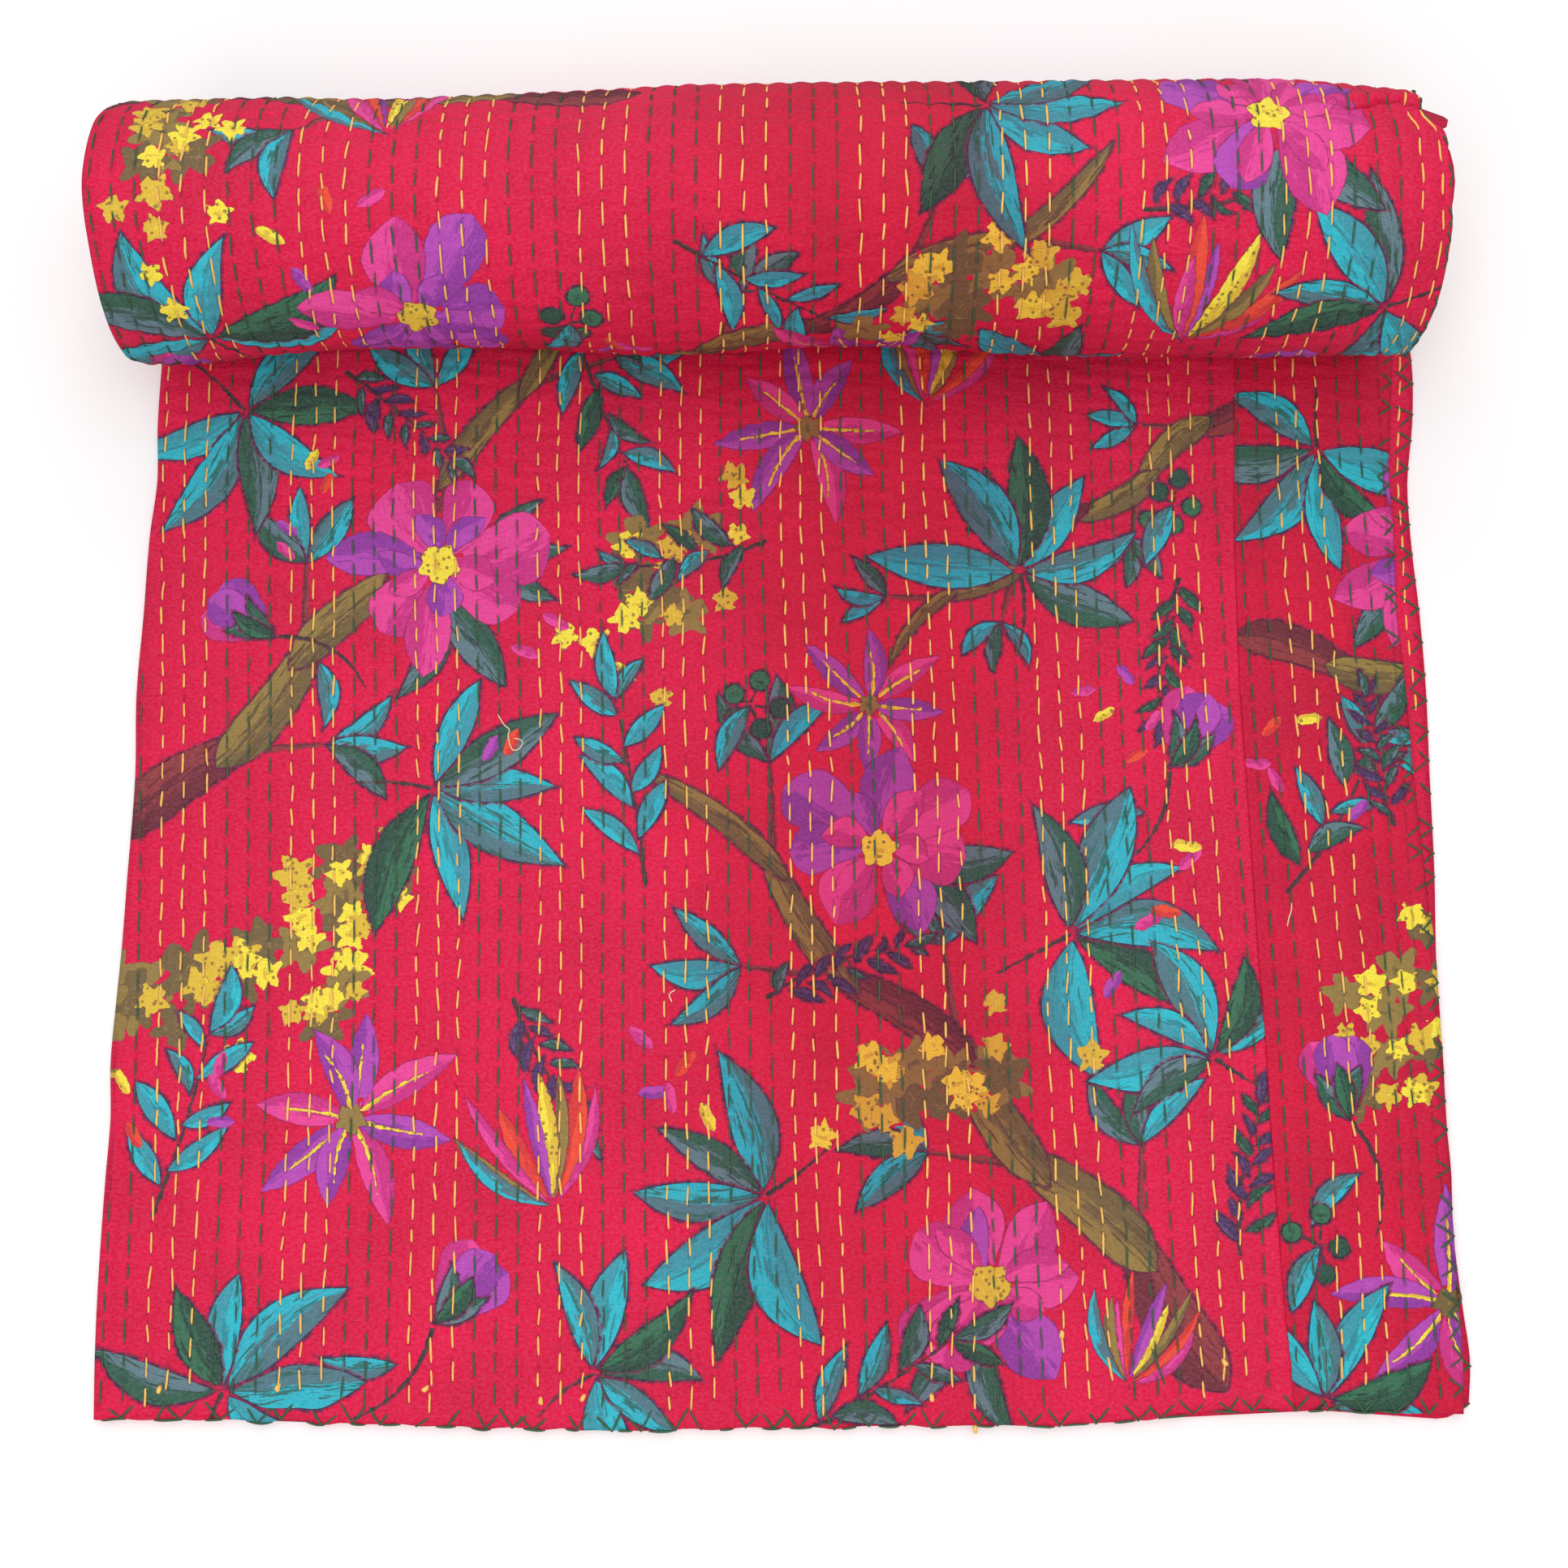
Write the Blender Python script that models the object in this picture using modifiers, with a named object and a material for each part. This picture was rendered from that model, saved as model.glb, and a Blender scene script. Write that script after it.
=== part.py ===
"""Kantha quilt, folded in half along its length and partly rolled up.

The quilt is folded along its left side, so two leaves lie on each other and are open at the
right. Its far part is rolled over itself towards the front, and the roll lies on the flat
part. Each solid starts as a flat grid, a function lays the grid on the folds of the cloth,
and Solidify gives it the thickness of the cloth.

Frame: metres, +Z up, +Y from the front hem to the roll, the origin on the floor under the
middle of the quilt's bounding box.
"""

import math

import bmesh
import bpy
import numpy as np

# ---- driving dimensions, in metres and degrees ----
LEAF = 0.0032  # thickness of one quilted leaf
LEAF_GAP = 0.0010  # air between the upper and the lower leaf
PIECE_GAP = 0.0003  # clearance between neighbouring pieces

FRONT_HEM_Y = -0.3730  # at the left corner
LOOSE_LENGTH = 0.6590  # from the front hem to the run under the roll

ROLL_AXIS_Y = 0.2980
ROLL_HALF_DEPTH = 0.0790  # from the axis to the roll's back, over the cloth
ROLL_HEIGHT = 0.1450
TURN_PITCH = 0.0103  # how much one turn of the two leaves adds to the radius
TURNS = 6.0

# Outline of the loose end. Each x is measured from the middle line of the quilt's flat part.
# from_hem, fold, seam, upper hem, lower hem
OUTLINE = (
    (0.000, -0.3820, 0.2825, 0.3756, 0.3796),
    (0.028, -0.3832, 0.2808, 0.3768, 0.3818),
    (0.057, -0.3839, 0.2790, 0.3766, 0.3794),
    (0.100, -0.3838, 0.2772, 0.3757, 0.3766),
    (0.134, -0.3832, 0.2759, 0.3756, 0.3774),
    (0.163, -0.3824, 0.2752, 0.3754, 0.3761),
    (0.196, -0.3842, 0.2746, 0.3752, 0.3766),
    (0.230, -0.3830, 0.2733, 0.3749, 0.3753),
    (0.257, -0.3818, 0.2722, 0.3745, 0.3759),
    (0.301, -0.3809, 0.2712, 0.3713, 0.3776),
    (0.362, -0.3797, 0.2695, 0.3674, 0.3782),
    (0.412, -0.3817, 0.2681, 0.3660, 0.3789),
    (0.457, -0.3803, 0.2682, 0.3634, 0.3778),
    (0.509, -0.3792, 0.2688, 0.3638, 0.3749),
    (0.542, -0.3767, 0.2700, 0.3630, 0.3750),
    (0.577, -0.3784, 0.2715, 0.3655, 0.3798),
    (0.608, -0.3782, 0.2730, 0.3681, 0.3818),
    (0.659, -0.3760, 0.2745, 0.3690, 0.3785),
)

# How far the front hem lies in front of its left corner.
# x, forward
HEM_SAG = (
    (-0.380, 0.0),
    (-0.249, 0.0019),
    (-0.145, 0.0052),
    (-0.090, 0.0056),
    (-0.009, 0.0047),
    (0.111, 0.0030),
    (0.141, 0.0034),
    (0.192, 0.0004),
    (0.229, -0.0034),
    (0.377, -0.0026),
)

# The roll's two ends. The angle runs from the roll's underside round its back, top and front.
# angle, left end x, right end x
ROLL_ENDS = (
    (-90.0, -0.3760, 0.3785),
    (0.0, -0.3780, 0.3640),
    (26.0, -0.3830, 0.3612),
    (52.0, -0.3862, 0.3547),
    (62.0, -0.3860, 0.3560),
    (75.0, -0.3860, 0.3640),
    (90.0, -0.3860, 0.3675),
    (105.0, -0.3845, 0.3658),
    (120.0, -0.3828, 0.3648),
    (150.0, -0.3820, 0.3636),
    (180.0, -0.3822, 0.3615),
    (200.0, -0.3806, 0.3622),
    (225.0, -0.3730, 0.3610),
    (270.0, -0.3680, 0.3600),
    (360.0, -0.3780, 0.3630),
    (418.0, -0.3800, 0.3655),
    (450.0, -0.3790, 0.3625),
    (540.0, -0.3780, 0.3590),
    (720.0, -0.3800, 0.3630),
    (900.0, -0.3770, 0.3580),
    (1080.0, -0.3800, 0.3620),
    (1400.0, -0.3775, 0.3590),
    (1800.0, -0.3790, 0.3620),
    (2150.0, -0.3770, 0.3600),
)

# The roll is slack at its ends and fuller at the right than at the left.
# x, share of the nominal radius, shift of the axis towards the back
FULLNESS = (
    (-0.3862, 0.940, -0.0019),
    (-0.375, 0.955, -0.0019),
    (-0.330, 0.968, -0.0019),
    (-0.200, 0.972, -0.0014),
    (-0.130, 1.000, 0.0),
    (0.000, 1.025, 0.0014),
    (0.130, 1.030, 0.0018),
    (0.320, 1.020, 0.0018),
    (0.355, 0.995, 0.0010),
    (0.382, 0.955, 0.0),
)

# The upper leaf's swells: where each one is highest, its half-width and half-length, its rise.
# x, from_hem, half_width, half_length, rise
SWELLS = (
    (-0.3680, 0.220, 0.009, 0.170, 0.0016),
    (-0.2300, 0.420, 0.110, 0.120, 0.0011),
    (0.0600, 0.250, 0.150, 0.140, 0.0012),
    (0.1700, 0.520, 0.110, 0.090, 0.0009),
    (0.3200, 0.330, 0.030, 0.180, 0.0010),
)

# Grid steps
LOWER_STEPS = 8
BEND_STEPS = 4
UPPER_SHARES = (0.0, 0.008, 0.018, 0.030, 0.045, 0.10, 0.20, 0.32, 0.44, 0.56, 0.68, 0.80, 0.91, 1.0)
NARROW_STEPS = 4
STEPS_PER_TURN = 20
ROLL_SHARES = (0.0, 0.016, 0.045, 0.10, 0.25, 0.42, 0.58, 0.75, 0.90, 0.955, 0.984, 1.0)

CRIMSON = (0.66, 0.020, 0.065, 1.0)
CRIMSON_DEEP = (0.56, 0.016, 0.055, 1.0)
CRIMSON_LIGHT = (0.70, 0.030, 0.080, 1.0)

# ---- values that follow from them ----
FOLDED = 2 * LEAF + LEAF_GAP
BEND_RADIUS = (LEAF + LEAF_GAP) / 2
LOWER_MID_Z = LEAF / 2
UPPER_MID_Z = LOWER_MID_Z + 2 * BEND_RADIUS
RUN_START_Y = FRONT_HEM_Y + LOOSE_LENGTH
HALF_DEPTH_MID = ROLL_HALF_DEPTH - FOLDED / 2
HALF_HEIGHT_MID = (ROLL_HEIGHT - FOLDED + TURN_PITCH / 2) / 2
CENTRE_X = (min(row[1] for row in ROLL_ENDS) + max(row[4] for row in OUTLINE)) / 2


def column(table, value_column, at):
    """The table's value column at a place in its first column, on straight lines."""
    return float(np.interp(at, [row[0] for row in table], [row[value_column] for row in table]))


def swell(x, from_hem):
    """Rise of the upper leaf over flat: a soft bell for each row of SWELLS."""
    rise = 0.0
    for peak_x, peak_y, half_width, half_length, height in SWELLS:
        off = ((x - peak_x) / half_width) ** 2 + ((from_hem - peak_y) / half_length) ** 2
        rise += height * math.exp(-off)
    return rise


def loose_y(x, from_hem):
    """The y of a point of the loose end. The hem's sag fades out towards the roll."""
    fade = 1 - from_hem / LOOSE_LENGTH
    return FRONT_HEM_Y + from_hem - column(HEM_SAG, 1, x) * fade


def wide_stations():
    """Stops across the wide panel, as (leg, share): lower leaf, fold and upper leaf."""
    lower = [("lower", 1 - i / LOWER_STEPS) for i in range(LOWER_STEPS)]
    bend = [("bend", i / BEND_STEPS) for i in range(BEND_STEPS)]
    upper = [("upper", share) for share in UPPER_SHARES]
    return lower + bend + upper


def wide_point(station, from_hem):
    """Middle of the wide panel's cloth at a stop across it and a distance from the hem."""
    leg, share = station
    bend_x = column(OUTLINE, 1, from_hem) + LEAF / 2 + BEND_RADIUS
    if leg == "lower":
        x = bend_x + share * (column(OUTLINE, 4, from_hem) - bend_x)
        return x, loose_y(x, from_hem), LOWER_MID_Z
    if leg == "bend":
        turn = math.pi * share
        x = bend_x - BEND_RADIUS * math.sin(turn)
        z = LOWER_MID_Z + BEND_RADIUS * (1 - math.cos(turn))
        return x, loose_y(x, from_hem), z
    seam_x = column(OUTLINE, 2, from_hem) - PIECE_GAP / 2
    x = bend_x + share * (seam_x - bend_x)
    return x, loose_y(x, from_hem), UPPER_MID_Z + swell(x, from_hem)


def narrow_point(share, from_hem):
    """Middle of the narrow panel's cloth, from the seam to the upper leaf's hem."""
    seam_x = column(OUTLINE, 2, from_hem) + PIECE_GAP / 2
    x = seam_x + share * (column(OUTLINE, 3, from_hem) - seam_x)
    return x, loose_y(x, from_hem), UPPER_MID_Z + swell(x, from_hem)


def roll_point(share, angle):
    """Middle of the two leaves in the roll, at a share of its length and an angle in degrees.

    Each turn lies inside the one before. The radius is scaled by the roll's fullness, and
    the axis drops with it, so that the underside stays on the floor.
    """
    x = (1 - share) * column(ROLL_ENDS, 1, angle) + share * column(ROLL_ENDS, 2, angle)
    full = column(FULLNESS, 1, x)
    drop = TURN_PITCH * (angle + 90) / 360
    turn = math.radians(angle)
    y = ROLL_AXIS_Y + column(FULLNESS, 2, x) + (HALF_DEPTH_MID - drop) * full * math.cos(turn)
    z = FOLDED / 2 + full * (HALF_HEIGHT_MID + (HALF_HEIGHT_MID - drop) * math.sin(turn))
    return x, y, z


def run_point(share, y):
    """Middle of the two leaves where they run flat under the roll."""
    x, _, z = roll_point(share, -90.0)
    return x, y, z


def solid_sheet(name, columns, rows, point, thickness, colour, collection):
    """A sheet on the folds that point(column, row) describes, with Solidify's thickness."""
    mesh = bpy.data.meshes.new(name)
    grid = bmesh.new()
    bmesh.ops.create_grid(grid, x_segments=len(columns) - 1, y_segments=len(rows) - 1, size=0.5)
    for vertex in grid.verts:
        i = round((vertex.co.x + 0.5) * (len(columns) - 1))
        j = round((vertex.co.y + 0.5) * (len(rows) - 1))
        x, y, z = point(columns[i], rows[j])
        vertex.co = (x - CENTRE_X, y, z)
    grid.to_mesh(mesh)
    grid.free()
    sheet = bpy.data.objects.new(name, mesh)
    collection.objects.link(sheet)
    shell = sheet.modifiers.new("cloth thickness", "SOLIDIFY")
    shell.thickness = thickness
    shell.offset = 0.0
    shell.use_even_offset = True
    shell.use_rim = True
    mesh.materials.append(cotton(name, colour))
    return sheet


def cotton(name, colour):
    """Matt printed cotton."""
    material = bpy.data.materials.new(name + "_cotton")
    material.use_nodes = True
    shader = material.node_tree.nodes["Principled BSDF"]
    shader.inputs["Base Color"].default_value = colour
    shader.inputs["Roughness"].default_value = 0.9
    shader.inputs["Metallic"].default_value = 0.0
    return material


def roll_rows():
    """Stops along the roll: the flat run under it, then the turns to its core."""
    run = [("run", RUN_START_Y), ("run", (RUN_START_Y + ROLL_AXIS_Y) / 2)]
    steps = round(TURNS * STEPS_PER_TURN)
    return run + [("turn", -90.0 + 360.0 * i / STEPS_PER_TURN) for i in range(steps + 1)]


def roll_row_point(share, row):
    """Middle of the two leaves at one of roll_rows."""
    kind, value = row
    return run_point(share, value) if kind == "run" else roll_point(share, value)


def build():
    """Make the three pieces in their collection."""
    for old in list(bpy.data.objects):
        bpy.data.objects.remove(old, do_unlink=True)
    quilt = bpy.data.collections.new("kantha_quilt")
    bpy.context.scene.collection.children.link(quilt)

    from_hem = [row[0] for row in OUTLINE[:-1]] + [LOOSE_LENGTH - PIECE_GAP]
    narrow = [i / NARROW_STEPS for i in range(NARROW_STEPS + 1)]
    solid_sheet("wide_panel", wide_stations(), from_hem, wide_point, LEAF, CRIMSON, quilt)
    solid_sheet("narrow_panel", narrow, from_hem, narrow_point, LEAF, CRIMSON_LIGHT, quilt)
    solid_sheet("roll", ROLL_SHARES, roll_rows(), roll_row_point, FOLDED, CRIMSON_DEEP, quilt)


build()
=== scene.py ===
"""Looks of the kantha quilt: two printed cotton leaves, their stitches, and the roll.

Lengths are in metres. A place on the cloth is given as across and along: across is the x over
the middle line of the flat part, and along is the way over the cloth from the front hem.
A place in the roll has an angle in degrees, from its underside round its back, top and front.
"""

from __future__ import annotations

import logging
from collections.abc import Callable, Iterable, Sequence
from dataclasses import dataclass, field
from enum import Enum, IntEnum
from functools import partialmethod

import bpy
import numpy as np
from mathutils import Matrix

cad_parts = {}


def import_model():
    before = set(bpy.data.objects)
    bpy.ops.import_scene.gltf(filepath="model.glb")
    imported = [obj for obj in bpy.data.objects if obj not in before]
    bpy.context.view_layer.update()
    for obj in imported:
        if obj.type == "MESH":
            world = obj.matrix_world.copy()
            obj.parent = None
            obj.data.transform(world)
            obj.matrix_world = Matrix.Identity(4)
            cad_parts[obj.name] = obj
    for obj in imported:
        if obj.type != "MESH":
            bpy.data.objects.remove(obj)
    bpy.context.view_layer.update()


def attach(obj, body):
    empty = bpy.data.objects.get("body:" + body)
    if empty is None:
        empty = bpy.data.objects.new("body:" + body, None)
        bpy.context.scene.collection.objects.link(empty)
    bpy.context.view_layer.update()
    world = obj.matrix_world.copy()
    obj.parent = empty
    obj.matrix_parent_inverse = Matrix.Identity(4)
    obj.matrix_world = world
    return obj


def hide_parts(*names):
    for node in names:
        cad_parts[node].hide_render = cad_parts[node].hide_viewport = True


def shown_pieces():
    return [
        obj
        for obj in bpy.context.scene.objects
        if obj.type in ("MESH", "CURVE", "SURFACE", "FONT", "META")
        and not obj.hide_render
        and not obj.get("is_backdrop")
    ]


Array = np.ndarray
Socket = bpy.types.NodeSocket
log = logging.getLogger("kantha_quilt")

# ---- driving dimensions, the same as the solids' ----
LEAF = 0.0032
LEAF_GAP = 0.0010
FRONT_HEM_Y = -0.3730
LOOSE_LENGTH = 0.6590
ROLL_AXIS_Y = 0.2980
ROLL_HALF_DEPTH = 0.0790
ROLL_HEIGHT = 0.1450
TURN_PITCH = 0.0103
TURNS = 6.0

# Outline of the loose end.
# from_hem, fold, seam, upper hem, lower hem
OUTLINE = (
    (0.000, -0.3820, 0.2825, 0.3756, 0.3796),
    (0.028, -0.3832, 0.2808, 0.3768, 0.3818),
    (0.057, -0.3839, 0.2790, 0.3766, 0.3794),
    (0.100, -0.3838, 0.2772, 0.3757, 0.3766),
    (0.134, -0.3832, 0.2759, 0.3756, 0.3774),
    (0.163, -0.3824, 0.2752, 0.3754, 0.3761),
    (0.196, -0.3842, 0.2746, 0.3752, 0.3766),
    (0.230, -0.3830, 0.2733, 0.3749, 0.3753),
    (0.257, -0.3818, 0.2722, 0.3745, 0.3759),
    (0.301, -0.3809, 0.2712, 0.3713, 0.3776),
    (0.362, -0.3797, 0.2695, 0.3674, 0.3782),
    (0.412, -0.3817, 0.2681, 0.3660, 0.3789),
    (0.457, -0.3803, 0.2682, 0.3634, 0.3778),
    (0.509, -0.3792, 0.2688, 0.3638, 0.3749),
    (0.542, -0.3767, 0.2700, 0.3630, 0.3750),
    (0.577, -0.3784, 0.2715, 0.3655, 0.3798),
    (0.608, -0.3782, 0.2730, 0.3681, 0.3818),
    (0.659, -0.3760, 0.2745, 0.3690, 0.3785),
)

# How far the front hem lies in front of its left corner.
# across, forward
HEM_SAG = (
    (-0.380, 0.0),
    (-0.249, 0.0019),
    (-0.145, 0.0052),
    (-0.090, 0.0056),
    (-0.009, 0.0047),
    (0.111, 0.0030),
    (0.141, 0.0034),
    (0.192, 0.0004),
    (0.229, -0.0034),
    (0.377, -0.0026),
)

# The roll's two ends.
# angle, left end, right end
ROLL_ENDS = (
    (-90.0, -0.3760, 0.3785),
    (0.0, -0.3780, 0.3640),
    (26.0, -0.3830, 0.3612),
    (52.0, -0.3862, 0.3547),
    (62.0, -0.3860, 0.3560),
    (75.0, -0.3860, 0.3640),
    (90.0, -0.3860, 0.3675),
    (105.0, -0.3845, 0.3658),
    (120.0, -0.3828, 0.3648),
    (150.0, -0.3820, 0.3636),
    (180.0, -0.3822, 0.3615),
    (200.0, -0.3806, 0.3622),
    (225.0, -0.3730, 0.3610),
    (270.0, -0.3680, 0.3600),
    (360.0, -0.3780, 0.3630),
    (418.0, -0.3800, 0.3655),
    (450.0, -0.3790, 0.3625),
    (540.0, -0.3780, 0.3590),
    (720.0, -0.3800, 0.3630),
    (900.0, -0.3770, 0.3580),
    (1080.0, -0.3800, 0.3620),
    (1400.0, -0.3775, 0.3590),
    (1800.0, -0.3790, 0.3620),
    (2150.0, -0.3770, 0.3600),
)

# How far each leaf's right hem lies beyond ROLL_ENDS on the outer turn.
# angle, outer leaf, inner leaf
ROLL_HEMS = (
    (10.0, 0.0, 0.0),
    (26.0, -0.0026, -0.0030),
    (38.0, -0.0024, -0.0026),
    (47.0, 0.0004, 0.0),
    (49.5, 0.0, 0.0010),
    (52.0, -0.0006, 0.0100),
    (60.0, -0.0034, 0.0104),
    (63.5, -0.0026, 0.0016),
    (68.0, 0.0020, 0.0016),
    (73.0, 0.0006, 0.0014),
    (80.0, -0.0026, 0.0006),
    (90.0, -0.0030, 0.0),
    (102.0, -0.0020, 0.0),
    (114.0, 0.0, -0.0010),
)

# How far the roll's front bulges over the line where it dips in.
# across, forward
ROLL_SAG = (
    (-0.386, 0.0054),
    (-0.368, 0.0066),
    (-0.345, 0.0060),
    (-0.310, 0.0018),
    (-0.240, -0.0022),
    (-0.165, -0.0018),
    (-0.090, 0.0014),
    (-0.030, 0.0),
    (0.035, -0.0032),
    (0.100, 0.0),
    (0.150, 0.0022),
    (0.240, 0.0034),
    (0.360, 0.0032),
)
SAG_ANGLE = 207.0
SAG_SPREAD = 32.0

# The roll is slack at its ends and fuller at the right than at the left.
# across, share of the nominal radius, shift of the axis towards the back
FULLNESS = (
    (-0.3862, 0.940, -0.0019),
    (-0.375, 0.955, -0.0019),
    (-0.330, 0.968, -0.0019),
    (-0.200, 0.972, -0.0014),
    (-0.130, 1.000, 0.0),
    (0.000, 1.025, 0.0014),
    (0.130, 1.030, 0.0018),
    (0.320, 1.020, 0.0018),
    (0.355, 0.995, 0.0010),
    (0.382, 0.955, 0.0),
)

# How far the lower leaf's front hem lies before the upper one's.
# across, forward
LOWER_HEM = (
    (0.195, -0.0004),
    (0.232, 0.0010),
    (0.300, 0.0006),
    (0.345, 0.0011),
    (0.371, 0.0009),
    (0.3765, -0.0025),
    (0.3800, -0.0042),
)

# The upper leaf's swells: where each one is highest, its half-width and half-length, its rise.
# across, along, half_width, half_length, rise
SWELLS = (
    (-0.3680, 0.220, 0.009, 0.170, 0.0016),
    (-0.2300, 0.420, 0.110, 0.120, 0.0011),
    (0.0600, 0.250, 0.150, 0.140, 0.0012),
    (0.1700, 0.520, 0.110, 0.090, 0.0009),
    (0.3200, 0.330, 0.030, 0.180, 0.0010),
)

# Soft creases of the upper leaf: the middle of each, its direction, its length and its depth.
# across, along, turn, length, depth
CREASES = (
    (-0.238, 0.465, 9, 0.085, 0.0007),
    (-0.150, 0.452, -4, 0.070, 0.0005),
    (0.030, 0.610, 3, 0.200, 0.0006),
    (-0.220, 0.607, -5, 0.120, 0.0006),
    (0.200, 0.618, 2, 0.130, 0.0007),
    (-0.330, 0.548, 12, 0.060, 0.0005),
    (0.120, 0.395, -8, 0.090, 0.0004),
    (-0.020, 0.535, 5, 0.110, 0.0005),
    (-0.345, 0.330, 14, 0.050, 0.0005),
    (0.215, 0.130, 6, 0.080, 0.0004),
    (-0.100, 0.060, -3, 0.120, 0.0005),
    (0.050, 0.022, 2, 0.140, 0.0006),
    (-0.290, 0.030, 5, 0.090, 0.0005),
    (0.325, 0.520, 8, 0.055, 0.0006),
    (0.335, 0.330, -6, 0.050, 0.0004),
    (-0.3742, 0.107, -91, 0.170, 0.0014),
    (-0.3715, 0.330, -88, 0.120, 0.0009),
    (0.244, 0.0180, -7, 0.028, 0.0013),
    (0.277, 0.0185, 8, 0.016, 0.0012),
)

# Rows of running stitch on the loose end, counted from the left, at four places along it.
# row, across at each of GUIDE_ALONG
ROW_GUIDES = (
    (3, -0.3414, -0.3437, -0.3501, -0.3597),
    (9, -0.2682, -0.2695, -0.2745, -0.2827),
    (15, -0.1959, -0.1977, -0.2014, -0.2102),
    (21, -0.1239, -0.1277, -0.1297, -0.1357),
    (27, -0.0511, -0.0556, -0.0571, -0.0623),
    (33, 0.0221, 0.0173, 0.0152, 0.0094),
    (39, 0.0934, 0.0921, 0.0888, 0.0833),
    (45, 0.1687, 0.1632, 0.1622, 0.1602),
    (51, 0.2442, 0.2407, 0.2348, 0.2319),
    (53, 0.2679, 0.2676, 0.2625, 0.2577),
    (53.6, 0.2784, 0.2746, 0.2702, 0.2699),
    (54, 0.2843, 0.2825, 0.2767, 0.2717),
    (57, 0.3225, 0.3212, 0.3143, 0.3084),
    (59, 0.3461, 0.3470, 0.3397, 0.3340),
    (60, 0.3630, 0.3558, 0.3503, 0.3467),
)
FOLD_ACROSS = -0.382
GUIDE_ALONG = (0.02, 0.20, 0.36, 0.54)
SEAM_ROW = 53.6
SEAM_STEPS = (0.04, 0.10, 0.20)  # fine columns beside the seam, in rows
LAST_ROW = 60
ROW_SPACING = 0.0126

ROLL_ROW_ZERO = -0.3808  # across of the roll's first row along its top
ROLL_ROW_SPACING = 0.0128
ROLL_LAST_ROW = 58
ROLL_LEFT, ROLL_RIGHT = next(row[1:] for row in ROLL_ENDS if row[0] == 90.0)  # along its top
LEFT_DRIFT = 0.12  # how far into the roll the drift of its left end is felt
RIGHT_DRIFT = 0.018
RUN_ANGLE = 12.0  # degrees that stand for the run of cloth under the roll
PIECE_GAP = 0.0003

# ---- values that follow from them ----
FOLDED = 2 * LEAF + LEAF_GAP
RUN_START_Y = FRONT_HEM_Y + LOOSE_LENGTH
HALF_DEPTH_MID = ROLL_HALF_DEPTH - FOLDED / 2
HALF_HEIGHT_MID = (ROLL_HEIGHT - FOLDED + TURN_PITCH / 2) / 2
CENTRE_X = (min(row[1] for row in ROLL_ENDS) + max(row[4] for row in OUTLINE)) / 2
DEGREE_LENGTH = (HALF_DEPTH_MID + HALF_HEIGHT_MID) / 2 * np.pi / 180


def smooth(table: Sequence[Sequence[float]], column: int, at: Array | float) -> Array:
    """Cubic curve through a table: each stretch is a Hermite cubic with the table's slopes.

    Args:
        table: Rows whose first value is the place along the curve.
        column: The column that holds the curve's value.
        at: Places to read the curve at. Beyond the table its end values hold.

    Returns:
        The curve's values, in the shape of `at`.
    """
    rows = np.asarray(table, float)
    place, value = rows[:, 0], rows[:, column]
    slope = np.gradient(value, place)
    at = np.clip(np.asarray(at, float), place[0], place[-1])
    i = np.clip(np.searchsorted(place, at) - 1, 0, len(place) - 2)
    width = place[i + 1] - place[i]
    u = (at - place[i]) / width
    start = (2 * u**3 - 3 * u**2 + 1) * value[i] + (u**3 - 2 * u**2 + u) * width * slope[i]
    end = (3 * u**2 - 2 * u**3) * value[i + 1] + (u**3 - u**2) * width * slope[i + 1]
    return start + end


def ripples(x: Array, y: Array, long_x: float, long_y: float, seed: int, waves: int = 18) -> Array:
    """Uneven ripples: a sum of cosines of random direction, length and phase.

    Args:
        x: First coordinate.
        y: Second coordinate.
        long_x: Typical wavelength along x.
        long_y: Typical wavelength along y.
        seed: Seed of the waves.
        waves: How many waves are added.

    Returns:
        Heights of about -1 to 1, in the shape of x and y together.
    """
    draw = np.random.default_rng(seed)
    total = np.zeros(np.broadcast(x, y).shape)
    for _ in range(waves):
        across = draw.normal() * 2 * np.pi / long_x
        along = draw.uniform(0.6, 1.4) * draw.choice((-1, 1)) * 2 * np.pi / long_y
        total += np.cos(across * x + along * y + draw.uniform(0, 2 * np.pi))
    return total / np.sqrt(waves)


def bell(off: Array, spread: float) -> Array:
    """Bell of a distance: 1 on the middle line, and nearly 0 at two spreads from it."""
    return np.exp(-((off / spread) ** 2))


def pairs(first: Array, second: Array | float) -> Array:
    """Pairs of numbers from two arrays, which are spread to one shape."""
    return np.stack(np.broadcast_arrays(first, second), axis=-1)


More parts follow.
